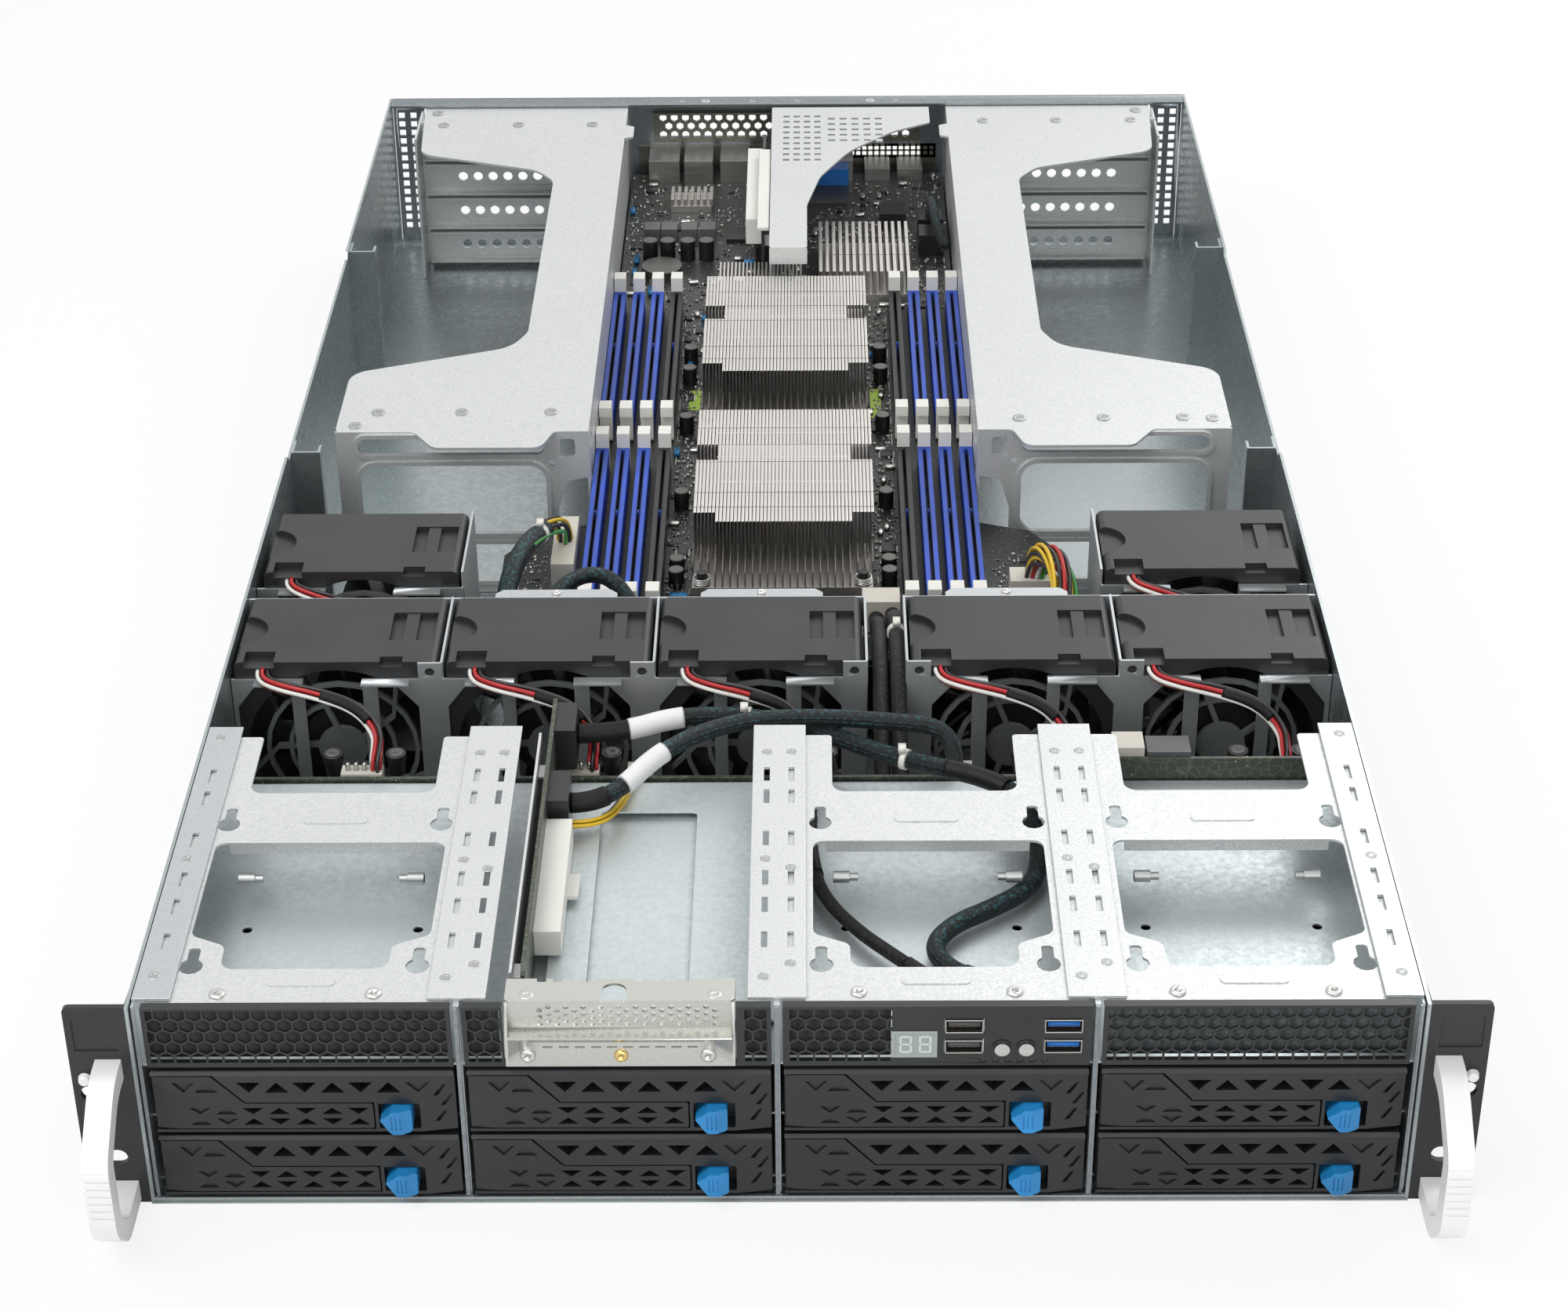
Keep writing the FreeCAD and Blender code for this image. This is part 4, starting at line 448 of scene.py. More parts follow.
def lamp(name, place, target, size, power):
    """A large soft lamp aimed at a point."""
    data = bpy.data.lights.new(name, "AREA")
    data.size = size
    data.energy = power
    thing = bpy.data.objects.new(name, data)
    thing.location = place
    thing.rotation_euler = (Vector(target) - Vector(place)).to_track_quat("-Z", "Y").to_euler()
    bpy.context.scene.collection.objects.link(thing)


def camera():
    """Camera at the viewing angle: in front, above, looking down along the case."""
    focal, shift = 4022.0, -0.05
    yaw, pitch, roll = (math.radians(a) for a in (-0.56, 30.85, 0.53))
    ahead = Vector((math.sin(yaw) * math.cos(pitch), math.cos(yaw) * math.cos(pitch), -math.sin(pitch)))
    right = Vector((math.cos(yaw), -math.sin(yaw), 0))
    down = ahead.cross(right)
    x_axis = math.cos(roll) * right + math.sin(roll) * down
    y_axis = math.sin(roll) * right - math.cos(roll) * down
    turn = Matrix((x_axis, y_axis, -ahead)).transposed().to_4x4()
    data = bpy.data.cameras.new("view")
    data.sensor_width = 36.0
    data.lens = focal * 36.0 / 2000.0
    data.shift_y = shift
    data.clip_end = 50.0
    thing = bpy.data.objects.new("view", data)
    thing.matrix_world = Matrix.Translation(at(12.0, -836.0, 755.0)) @ turn
    bpy.context.scene.collection.objects.link(thing)
    bpy.context.scene.camera = thing


bpy.context.scene.view_settings.view_transform = "Standard"
world_light()
floor()
lamp("key", (-0.9, -0.7, 1.7), (0, 0, 0), 1.4, 22.0)
lamp("rim", (0.9, 1.1, 1.5), (0, 0.1, 0), 1.2, 16.0)
lamp("front", (0.4, -2.2, 0.9), (0, -0.3, 0.05), 1.2, 12.0)
camera()

# ---------------------------- shaping tools

AXES = {"X": Matrix.Rotation(math.pi / 2, 4, "Y"), "Y": Matrix.Rotation(math.pi / 2, 4, "X"),
        "Z": Matrix.Identity(4)}


class Bits:
    """Small shapes of one finish, gathered into one mesh; sizes are in millimetres."""

    def __init__(self):
        self.mesh = bmesh.new()

    def box(self, x0, x1, y0, y1, z0, z1):
        made = bmesh.ops.create_cube(self.mesh, size=1.0)
        for v in made["verts"]:
            a, b, c = (v.co[k] + 0.5 for k in range(3))
            v.co = at(x0 + a * (x1 - x0), y0 + b * (y1 - y0), z0 + c * (z1 - z0))
        return self

    def drum(self, x, y, z, radius, height, axis="Z", sides=20, top=None):
        """A round peg that stands on a point and grows along an axis."""
        made = bmesh.ops.create_cone(self.mesh, cap_ends=True, segments=sides, radius1=radius * MM,
                                     radius2=(radius if top is None else top) * MM, depth=abs(height) * MM,
                                     matrix=AXES[axis])
        along = {"X": Vector((1, 0, 0)), "Y": Vector((0, 1, 0)), "Z": Vector((0, 0, 1))}[axis]
        centre = at(x, y, z) + along * (height * MM / 2)
        for v in made["verts"]:
            v.co += centre
        return self

    def washer(self, x, y, z, outer, inner, height, axis="Z", sides=24):
        """A flat ring."""
        rings = []
        for radius, level in ((outer, 0.0), (outer, height), (inner, height), (inner, 0.0)):
            ring = []
            for k in range(sides):
                turn = 2 * math.pi * k / sides
                a, b = radius * math.cos(turn), radius * math.sin(turn)
                p = {"X": (level, a, b), "Y": (a, level, b), "Z": (a, b, level)}[axis]
                ring.append(self.mesh.verts.new(at(x + p[0], y + p[1], z + p[2])))
            rings.append(ring)
        for i, ring in enumerate(rings):
            other = rings[(i + 1) % 4]
            for k in range(sides):
                n = (k + 1) % sides
                self.mesh.faces.new((ring[k], ring[n], other[n], other[k]))
        return self

    def screw(self, x, y, z, radius, axis="Z", height=1.1, turn=0.4):
        """A domed head with a cross recess, facing up or towards the front."""
        sides = 24
        def place(a, b, c):
            if axis == "Z":
                return at(x + a, y + b, z + c)
            return at(x + a, y - c, z + b)
        rings = []
        for share, level in ((1.0, -0.2), (1.0, 0.45), (0.86, 0.85), (0.66, 1.0)):
            ring = []
            for k in range(sides):
                angle = 2 * math.pi * k / sides
                ring.append(self.mesh.verts.new(place(radius * share * math.cos(angle),
                                                      radius * share * math.sin(angle), level * height)))
            rings.append(ring)
        for low, high in zip(rings, rings[1:]):
            for k in range(sides):
                n = (k + 1) % sides
                self.mesh.faces.new((low[k], low[n], high[n], high[k]))
        w, reach = 0.13 * radius, 0.46 * radius
        arm, cross = [(w, reach), (w, w), (reach, w)], []
        for _ in range(4):
            cross += arm
            arm = [(b, -a) for a, b in arm]
        c, q = math.cos(turn), math.sin(turn)
        cross = [(a * c - b * q, a * q + b * c) for a, b in cross]
        upper = [self.mesh.verts.new(place(a, b, height)) for a, b in cross]
        lower = [self.mesh.verts.new(place(a * 0.8, b * 0.8, height * 0.3)) for a, b in cross]
        edges = []
        for k in range(12):
            n = (k + 1) % 12
            self.mesh.faces.new((upper[k], upper[n], lower[n], lower[k]))
            edges.append(self.mesh.edges.get((upper[k], upper[n])))
        self.mesh.faces.new(lower)
        for k in range(sides):
            edges.append(self.mesh.edges.get((rings[-1][k], rings[-1][(k + 1) % sides])))
        bmesh.ops.triangle_fill(self.mesh, use_beauty=True, edges=edges)
        return self

    def done(self, name, material, slot, node=None, width=0.0):
        make(name, self.mesh, material, node, width)


def route(points):
    """The smooth line of a cable: a NURBS spline with the route's points as its control points."""
    curve = bpy.data.curves.new("route", "CURVE")
    curve.dimensions = "3D"
    curve.resolution_u = 16
    spline = curve.splines.new("NURBS")
    spline.points.add(len(points) - 1)
    for knot, point in zip(spline.points, points):
        knot.co = (*point, 1.0)
    spline.order_u = 3
    spline.use_endpoint_u = True
    carrier = bpy.data.objects.new("route", curve)
    mesh = bpy.data.meshes.new_from_object(carrier)
    line = [v.co.copy() for v in mesh.vertices]
    bpy.data.objects.remove(carrier)
    bpy.data.meshes.remove(mesh)
    bpy.data.curves.remove(curve)
    return line


def resampled(path, step):
    """Evenly spaced points along a path, with its length."""
    out, left = [path[0].copy()], step
    length = 0.0
    for a, b in zip(path, path[1:]):
        run = (b - a).length
        length += run
        while run >= left and run > 1e-9:
            a = a + (b - a) * (left / run)
            out.append(a.copy())
            run = (b - a).length
            left = step
        left -= run
    out.append(path[-1].copy())
    return out, length


def part_of(path, start, end, step=1.0):
    """The stretch of a path between two distances from its start."""
    points, _ = resampled(path, step)
    first = max(0, int(start / step))
    last = min(len(points) - 1, int(end / step))
    return points[first:last + 1]


def sweep(mesh, path, radius, sides=14, offset=0.0, phase=0.0, twist=0.0):
    """A round tube along a path; an offset makes it one strand of a bundle."""
    lay = mesh.verts.layers.float_vector.get("lay") or mesh.verts.layers.float_vector.new("lay")
    along = (path[1] - path[0]).normalized()
    side = along.cross(Vector((0.31, 0.17, 0.93))).normalized()
    rings, travelled = [], 0.0
    for i, point in enumerate(path):
        ahead = path[min(i + 1, len(path) - 1)] - path[max(i - 1, 0)]
        if ahead.length > 1e-9:
            along = ahead.normalized()
        side = (side - along * side.dot(along)).normalized()
        up = along.cross(side)
        if i:
            travelled += (point - path[i - 1]).length
        turn = phase + twist * travelled
        centre = point + (side * math.cos(turn) + up * math.sin(turn)) * offset
        ring = []
        for k in range(sides + 1):
            angle = 2 * math.pi * k / sides
            p = centre + (side * math.cos(angle) + up * math.sin(angle)) * radius
            v = mesh.verts.new(at(*p))
            v[lay] = (k / sides, travelled / (2 * radius), 0)
            ring.append(v)
        rings.append(ring)
    for low, high in zip(rings, rings[1:]):
        for k in range(sides):
            mesh.faces.new((low[k], low[k + 1], high[k + 1], high[k]))
    for ring, flip in ((rings[0], True), (rings[-1], False)):
        face = ring[:-1]
        mesh.faces.new(list(reversed(face)) if flip else face)


def cable(name, runs, material):
    """One mesh of tubes: each run is (path, radius)."""
    mesh = bmesh.new()
    for path, radius in runs:
        points, _ = resampled(path, 1.6)
        sweep(mesh, points, radius, 16)
    make(name, mesh, material, "braided_cables")


WIRES = {}


def bundle(path, finishes, radius, spread, twist=0.05):
    """Loose single wires that wind gently about a path, gathered by colour."""
    points, _ = resampled(path, 1.5)
    for k, material in enumerate(finishes):
        mesh = WIRES.setdefault(material.name, (material, bmesh.new()))[1]
        wobble = 1.0 + 0.22 * math.sin(2.3 * k + 1.0)
        sweep(mesh, points, radius, 8, spread * wobble, 2 * math.pi * k / len(finishes), twist)


def tint(node, material, test):
    """Give the faces of a CAD node that pass a test another finish."""
    data = NODES[node].data
    data.materials.append(material)
    index = len(data.materials) - 1
    for face in data.polygons:
        c = face.center
        if test((c.x / MM, (c.y - FRONT_Y) / MM, c.z / MM)):
            face.material_index = index


# ---------------------------- finishes of the plain nodes

for node, material in {"base_pan": PAN, "rear_panel": STEEL, "bay_covers": ZINC,
                       "front_panels": PANEL, "front_bracket": BRACKET, "rack_ears": POWDER,
                       "rack_handles": CAST, "fan_frames": BLACK, "fan_cage": CAGE,
                       "gpu_cages": ZINC, "power_supply_1": STEEL, "power_supply_2": STEEL,
                       "power_button": NICKEL, "id_button": NICKEL}.items():
    dress(node, material)
tint("fan_frames", GUARD, lambda c: 8.0 < c[2] < 81.0
     and any(0.8 < c[1] - y < 4.1 for y in (FAN_Y, REAR_FAN_Y)))
for number in range(7):
    dress("fan_rotor_" + str(number + 1), ROTOR)
for number in range(4):
    dress("dimm_latches_" + str(number + 1), WHITE)
for level in ROW_Z:
    for column in range(BAYS):
        label = level + "_" + str(column + 1)
        dress("tray_" + label, PANEL)
        tint("tray_" + label, STEEL, lambda c: c[1] > 7.2)
        dress("lever_" + label, PANEL)
        dress("latch_" + label, BLUE)

regroup("drive_cage", lambda c, s:
        ("cage_shelves", SHELF) if 58 < c[2] < 64
        else ("cage_rails", ZINC) if c[2] > 84 else ("cage_walls", CAGE))
regroup("control_panel", lambda c, s:
        ("display_window", GLASS) if s[0] < 20 else ("control_face", PANEL))
regroup("port_shells", lambda c, s:
        ("rear_ports", PORT_METAL) if c[1] > 100 else ("front_ports", PORT_METAL))
regroup("backplane", lambda c, s:
        ("backplane_board", RISER) if s[0] > 200
        else ("power_plug_grey", GREY) if c[0] > 140 and c[2] > 62
        else ("backplane_sockets", SLOT_BLACK) if c[1] < 171 else ("backplane_plugs", IVORY))
regroup("motherboard", lambda c, s:
        ("main_board", BOARD) if s[0] > 200 else ("board_carrier", STEEL))
regroup("dimm_slots", lambda c, s:
        ("memory_slots_black", SLOT_BLACK) if abs(c[0]) < 60 else ("memory_slots_blue", SLOT_BLUE))
regroup("front_riser", lambda c, s:
        ("riser_stay", ZINC) if c[0] < -88.3 else ("riser_board", RISER) if s[0] < 2
        else ("riser_slot", WHITE) if s[1] > 60 else ("riser_plugs", SLOT_BLACK))
regroup("centre_riser", lambda c, s:
        ("riser_bracket", ZINC) if s[1] > 150 or s[0] > 17 and s[1] < 2
        else ("centre_board", BOARD) if s[0] < 2 and s[1] > 80
        else ("centre_slot", WHITE) if s[1] > 80 and c[2] > 65
        else ("low_blanks", BLANK) if s[0] > 50
        else ("riser_bracket", ZINC) if s[1] < 10 else ("centre_socket", SLOT_BLACK))
regroup("board_parts", lambda c, s:
        ("battery_cell", CAP_TOP) if s[0] > 20 and s[1] > 20 and s[2] < 6
        else ("capacitors", CHIP) if abs(s[0] - s[1]) < 0.6 and s[2] > 8.5
        else ("power_sockets", IVORY) if abs(c[0]) > 94 or s[2] > 14.5
        else ("coils", GREY) if 6 < s[2] < 7.5 else ("board_chips", CHIP))


# ---------------------------- processor coolers

def cooler(name, y):
    """Stack of thin folded fins with a bare, lower front step and notched sides."""
    half = SINK_W / 2.0
    front, rear = y - SINK_L / 2.0, y + SINK_L / 2.0
    floor_z = BOARD_TOP + 11.0
    upright, lower, tops = Bits(), Bits(), Bits()
    pitch = 1.62
    count = int(SINK_W / pitch)
    notches = ((front - 1.0, front + 8.0), (y + 4.0, y + 16.0))
    marks = [front, front + 13, front + 26, y + 2, y + 18, y + 34, rear]
    for k in range(count + 1):
        x = -half + k * (SINK_W - 0.4) / count
        side = abs(x) > half - 9.0
        spans = [(front, rear)]
        if side:
            spans = [(front + 8.0, y + 4.0), (y + 16.0, rear)]
        for y0, y1 in spans:
            upright.box(x, x + 0.3, y0, y1, floor_z, SINK_TOP - 0.3)
        if side:
            for y0, y1 in notches:
                upright.box(x, x + 0.3, max(y0, front), y1, floor_z, floor_z + 3.0)
        if k % 2 == 0:
            start = front - SINK_STEP + (9.0 if side else 0.0)
            lower.box(x, x + 0.55, start, front - 0.3, floor_z, SINK_TOP - 11.0)
        for a, b in zip(marks, marks[1:]):
            if side and any(a < n1 and b > n0 for n0, n1 in notches):
                a = max([a] + [n1 for n0, n1 in notches if n0 <= a < n1])
                b = min([b] + [n0 for n0, n1 in notches if a < n0 < b])
            if b - a > 1.0:
                tops.box(x, x + 1.24, a + 0.3, b - 0.3, SINK_TOP - 0.35, SINK_TOP - 0.05)
    plate = Bits().box(-half, half, front - SINK_STEP, rear, BOARD_TOP + 7.0, floor_z)
    plate.box(-half + 8, half - 8, y - 42.0, y + 42.0, BOARD_TOP, BOARD_TOP + 7.0)
    for n in range(1, 4):
        a = rear - SINK_L * 0.22 * n
        tops.box(-half + 9.2, half - 9.2, a, a + 0.6, SINK_TOP - 0.3, SINK_TOP)
    # The step fins and the base plate take the darker fin metal: painted shade.
    for bits, part, finish, width in ((upright, "_fins", FINS, 0), (lower, "_step_fins", SHADED_STEP_FINS, 0),
                                      (tops, "_fin_tops", FINS, 0), (plate, "_base", SHADED_STEP_FINS, EDGE_WIDTH)):
        bits.done(name + part, finish, "fin_metal", "heatsinks", width)
    posts, springs = Bits(), Bits()
    for x in (-half + 4.2, half - 4.2):
        for post_y in (front - SINK_STEP + 4.0, y + 10.0):
            posts.drum(x, post_y, floor_z - 4, 3.1, 7.0, sides=18)
            posts.drum(x, post_y, floor_z + 3, 2.3, 2.6, sides=18)
            for turn in range(4):
                springs.washer(x, post_y, floor_z + 0.4 + turn * 0.8, 3.7, 3.2, 0.4, sides=18)
    posts.done(name + "_posts", CHIP, "component_black", width=0.2)
    springs.done(name + "_springs", TIN, "port_metal")


cooler("front_cooler", SINK_Y[0])
cooler("rear_cooler", SINK_Y[1])


def small_cooler(name, x0, x1, y0, y1, top, fins, pins=1):
    """Extruded cooler; pins splits each fin along its length."""
    bits = Bits().box(x0, x1, y0, y1, BOARD_TOP, BOARD_TOP + 4.0)
    step = (x1 - x0 - 1.0) / (fins - 1)
    run = (y1 - y0) / pins
    gap = 0.8 if pins > 1 else 0.0
    for k in range(fins):
        for n in range(pins):
            a, b = x0 + k * step, y0 + n * run
            bits.box(a, a + 0.52 * step, b, b + run - gap, BOARD_TOP + 3.9, top)
    bits.done(name, FINS, "fin_metal", "heatsinks", width=0.15)


small_cooler("chipset_cooler", 17.0, 63.0, CASE_D - 172, CASE_D - 110, BOARD_TOP + 17.0, 14, 3)
small_cooler("regulator_cooler", -34.0, 8.0, SINK_Y[1] + 77, SINK_Y[1] + 99, BOARD_TOP + 15.0, 22)
small_cooler("rear_small_cooler", -63.0, -41.0, CASE_D - 61, CASE_D - 43, BOARD_TOP + 8.0, 7, 3)


# ---------------------------- screws, rivets and studs

screws, rivets, gold = Bits(), Bits(), Bits()
for x in (-190.0, -136.9, 27.8, 80.6, 135.8, 188.6):
    screws.screw(x, 9.0, 85.5, 2.9, turn=0.3 + x * 0.01)
for x in (-84.8, -21.0):
    screws.screw(x, 6.9, COVER_TOP - 0.1, 2.5, height=0.2)
for x in (-44.8, 46.0):
    screws.screw(x, CASE_D - 6.0, COVER_TOP - 0.05, 2.6, height=0.25)
for x in (-84.5, -23.3):
    screws.screw(x, -1.6, 67.4, 2.7, "Y", 1.2)
gold.screw(-52.8, -1.6, 67.4, 2.4, "Y", 1.2)
outer_ys, left_ys, right_ys = (163.5, 85.0, 17.6), (152.5, 84.0, 16.0), (152.5, 78.6, 23.3)
for x, ys in ((-212.8, outer_ys), (-113.0, left_ys), (-103.8, right_ys), (-4.6, left_ys), (4.6, right_ys),
              (103.8, left_ys), (113.0, right_ys), (212.8, outer_ys)):
    for y in ys:
        rivets.washer(x, y, COVER_TOP, 2.0, 1.1, 0.2).drum(x, y, COVER_TOP - 0.1, 1.1, 0.23, sides=16)
for x, y in ((-184, 430.6), (-146, 430.6), (-105.5, 430.6), (-193, 418), (-186.8, 765), (-146, 765),
             (-105.8, 765), (-191.6, 781.6), (106.5, 422.6), (144.5, 422.6), (180.3, 422.6), (193.5, 421.6),
             (107, 767.5), (146.8, 767.5), (187.4, 767.5), (191.3, 781)):
    rivets.washer(x, y, CAGE_TOP, 3.0, 1.7, 0.5).drum(x, y, CAGE_TOP - 0.1, 1.7, 0.35, sides=18)
for x in (-58.0, -19.0, 6.0, 60.0):
    rivets.washer(x, CASE_D - 6.5, COVER_TOP, 1.6, 0.9, 0.2)
for index in (1, 2, 3):
    screws.screw(fan_x(index), FAN_Y + FAN_D + 4.8, 85.0, 2.0)
studs = Bits()
for x, out in ((-196.5, 1), (-129.0, -1), (129.0, 1), (196.5, -1), (88.5, -1), (19.8, 1)):
    studs.drum(x, 92.0, 73.0, 2.2, 6.0 * out, "X").drum(x, 92.0, 73.0, 1.5, 9.0 * out, "X")
studs.done("cage_studs", RIVET, "port_metal", width=EDGE_WIDTH)
screws.done("cover_screws", NICKEL, "port_metal")
rivets.done("cover_rivets", RIVET, "zinc_sheet")
gold.done("bracket_screw", GOLD, "port_metal")

heads, crosses = Bits(), Bits()
for index in range(5):
    hx = fan_x(index) + 14.0
    for side in (-1, 1):
        if index == 1 and side < 0:
            continue
        x = hx + side * 12.3
        heads.drum(x, 185.0, 56.0, 3.4, 6.0).drum(x, 185.0, 62.0, 4.1, 3.4, sides=24)
        crosses.screw(x, 185.0, 65.3, 3.0, height=0.6, turn=0.2 + index)
heads.done("thumb_screws", CHIP, "component_black", width=0.3)
crosses.done("thumb_screw_faces", GREY, "component_black")

# ---------------------------- front face

digits, marks, lamps, tongues, blue_tongues, pins = Bits(), Bits(), Bits(), Bits(), Bits(), Bits()
left = bay(2) - TRAY_W / 2.0 - 0.3
for start in (left + 39.6, left + 46.2):
    end, foot, middle, head, bar = start + 4.2, 67.0, 70.6, 74.2, 0.7
    for low in (head - bar, middle - bar / 2, foot):
        digits.box(start + bar, end - bar, -0.3, -0.1, low, low + bar)
    for low, high in ((middle, head), (foot, middle)):
        for x in (start, end - bar):
            digits.box(x, x + bar, -0.3, -0.1, low + 0.3, high - 0.3)
digits.done("display_digits", DIGIT, "white_plastic")
for port_x, finish in ((left + 61.4, tongues), (left + 95.0, blue_tongues)):
    for port_z in (69.6, 78.3):
        finish.box(port_x - 5.4, port_x + 5.4, -0.3, 12.4, port_z - 0.1, port_z + 2.2)
        for k in range(4):
            pins.box(port_x - 4.2 + 2.4 * k, port_x - 3.2 + 2.4 * k, -0.1, 9.0, port_z - 0.35, port_z - 0.1)
tongues.done("port_tongues", GREY, "component_black")
blue_tongues.done("port_tongues_blue", PORT_BLUE, "slot_blue")
pins.done("port_contacts", GOLD, "port_metal")
for k in range(6):
    lamps.drum(left + 68.2 + 4.15 * k, 0.2, 63.4, 1.0, 1.4, "Y", 16)
lamps.done("status_lamps", PORT_DARK, "component_black")
rims = Bits()
for button_x in (left + 74.4, left + 82.6):
    rims.washer(button_x, -0.5, 68.7, 3.5, 2.75, 0.5, "Y", 32)
rims.done("button_rims", PANEL, "black_panel", width=EDGE_WIDTH)
# Black sheets close behind the hex vents of the first three columns: painted shade for the dark bays seen
# through them.
shade_backs = Bits()
for column, a, b in ((0, -51.5, 51.5), (1, -52.0, -40.2), (1, 41.5, 52.0), (2, -50.0, -15.5)):
    shade_backs.box(bay(column) + a, bay(column) + b, 3.6, 4.2, 63.0, 85.2)
shade_backs.done("vent_painted_shade", SLOT_BLACK, "black_panel")
# A real metal screen behind the fourth vent; its dark colour is painted shade.
metal = Bits().box(bay(3) - 51.5, bay(3) + 51.5, 3.8, 4.3, 63.0, 84.0)
metal.done("vent_screen_metal", SHADED_SCREEN, "galvanised_steel")
nubs = Bits()
for x in (-236.6, 236.6):
    nubs.drum(x, -0.2, 57.0, 2.4, -2.4, "Y", 24, 1.8)
nubs.done("ear_nubs", CAST, "cast_alloy", width=0.3)
posts = Bits()
for x, half in ((-217.2, 0.5), (-108.6, 0.8), (-0.2, 0.8), (108.2, 0.8), (217.0, 0.5)):
    posts.box(x - half, x + half, 0.4, 1.6, 3.0, 86.0)
posts.done("column_posts", STEEL, "galvanised_steel", width=EDGE_WIDTH)

# ---------------------------- main board

random.seed(11)
taken = [(-39, 39, 325, 454), (-39, 39, 468, 600), (-90, -52, 308, 618), (52, 90, 308, 618),
         (17, 63, 626, 692), (-34, 8, 618, 646), (-64, -40, 737, 760), (-78, -20, 776, 800),
         (4, 38, 776, 800), (42, 76, 776, 800), (-77, -38, 655, 685), (-76, -54, 651, 674),
         (-17, -6, 664, 744), (11, 34, 746, 774), (-33, -19, 699, 717), (49, 65, 715, 733),
         (69, 84, 681, 717), (33, 51, 305, 319), (-104, -88, 340, 386), (96, 122, 324, 340),
         (-77, -38, 700, 714)]
small = {"dark": Bits(), "tin": Bits(), "tan": Bits(), "blue": Bits()}


def free(x0, x1, y0, y1):
    """True where the board is bare; the space is then taken."""
    if any(x0 < b and x1 > a and y0 < d and y1 > c for a, b, c, d in taken):
        return False
    taken.append((x0 - 0.3, x1 + 0.3, y0 - 0.3, y1 + 0.3))
    return True


def scatter(x0, x1, y0, y1, count):
    """Chips, resistors, crystals, headers and ceramic capacitors over one area of the board."""
    for _ in range(count):
        kind = random.choices(("chip", "part", "cap", "array", "header", "crystal"), (9, 44, 30, 9, 3, 6))[0]
        w, d, h, tone = {"chip": (random.uniform(3, 7), random.uniform(3, 7), 1.0, "dark"),
                         "part": (1.6, 0.8, 0.5, "dark"), "cap": (0.9, 1.7, 0.9, "tan"),
                         "array": (3.0, 1.5, 0.6, "dark"), "crystal": (4.6, 2.4, 1.8, "tin"),
                         "header": (2.5, random.choice((5.0, 7.6)), 2.6, "blue")}[kind]
        if random.random() < 0.5:
            w, d = d, w
        x, y = random.uniform(x0, x1 - w), random.uniform(y0, y1 - d)
        if not free(x, x + w, y, y + d):
            continue
        small[tone].box(x, x + w, y, y + d, BOARD_TOP, BOARD_TOP + h)
        if kind in ("part", "cap"):
            cap_top = BOARD_TOP + h + 0.03
            if w > d:
                for a in (x - 0.05, x + w - 0.3):
                    small["tin"].box(a, a + 0.35, y - 0.03, y + d + 0.03, BOARD_TOP, cap_top)
            else:
                for a in (y - 0.05, y + d - 0.3):
                    small["tin"].box(x - 0.03, x + w + 0.03, a, a + 0.35, BOARD_TOP, cap_top)
        if kind == "chip":
            for k in range(int(d / 0.9)):
                b = y + 0.4 + k * 0.9
                small["tin"].box(x - 0.7, x + w + 0.7, b, b + 0.35, BOARD_TOP, BOARD_TOP + 0.3)
        if kind == "header":
            pitch = 2.5
            for k in range(int(max(w, d) / pitch)):
                a, b = (x + 1.0 + k * pitch, y + 1.2) if w > d else (x + 1.2, y + 1.0 + k * pitch)
                small["tin"].box(a - 0.3, a + 0.3, b - 0.3, b + 0.3, BOARD_TOP + h, BOARD_TOP + h + 4.5)


for area in ((-86, 86, 600, 790, 1500), (-52, -39, 300, 620, 520), (39, 52, 300, 620, 520),
             (-122, -91, 286, 372, 170), (91, 122, 286, 372, 170), (-90, 90, 286, 308, 170),
             (-86, -84, 372, 620, 40)):
    scatter(*area)
for tone, material in (("dark", CHIP), ("tin", TIN), ("tan", IVORY), ("blue", WIRE_BLUE)):
    small[tone].done("board_smalls_" + tone, material, "component_black")
caps = Bits()
for y in (SINK_Y[0] - 58, SINK_Y[0] - 48, SINK_Y[0] + 12, SINK_Y[1] - 58, SINK_Y[1] - 8, SINK_Y[1] + 14):
    for x in (-46.5, 46.5):
        caps.drum(x, y, BOARD_TOP + 9.0, 2.9, 0.12, sides=24)
for x in (-71.7, -62.5, -52.0, -42.1):
    caps.drum(x, CASE_D - 120.0, BOARD_TOP + 11.0, 3.5, 0.12, sides=24)
caps.done("capacitor_tops", CAP_TOP, "component_black")
stickers = Bits().box(-46.4, -40.8, 509, 529, BOARD_TOP, BOARD_TOP + 0.12)
stickers.box(41.2, 46.4, 500, 530, BOARD_TOP, BOARD_TOP + 0.12)
stickers.done("board_stickers", GREEN, "circuit_board")
prints = Bits()
for side in (-1, 1):
    for k in range(9):
        y = 455.0 + 18.0 * k
        prints.box(side * 50.6, side * 50.9, y, y + 11.0, BOARD_TOP, BOARD_TOP + 0.05)
for x0, x1, y0, y1 in ((-86, 86, 604, 786), (-50, -41, 306, 600), (41, 50, 306, 600), (-120, -92, 290, 370),
                       (93, 121, 290, 370)):
    for _ in range(int((x1 - x0) * (y1 - y0) / 70)):
        x, y = random.uniform(x0, x1 - 3), random.uniform(y0, y1 - 3)
        w, d = random.choice(((2.2, 0.25), (0.25, 2.2), (1.1, 0.25), (0.25, 1.1)))
        if not any(x < b and x + w > a and y < q and y + d > c for a, b, c, q in taken):
            prints.box(x, x + w, y, y + d, BOARD_TOP, BOARD_TOP + 0.05)
prints.done("board_lines", LABEL, "circuit_board")

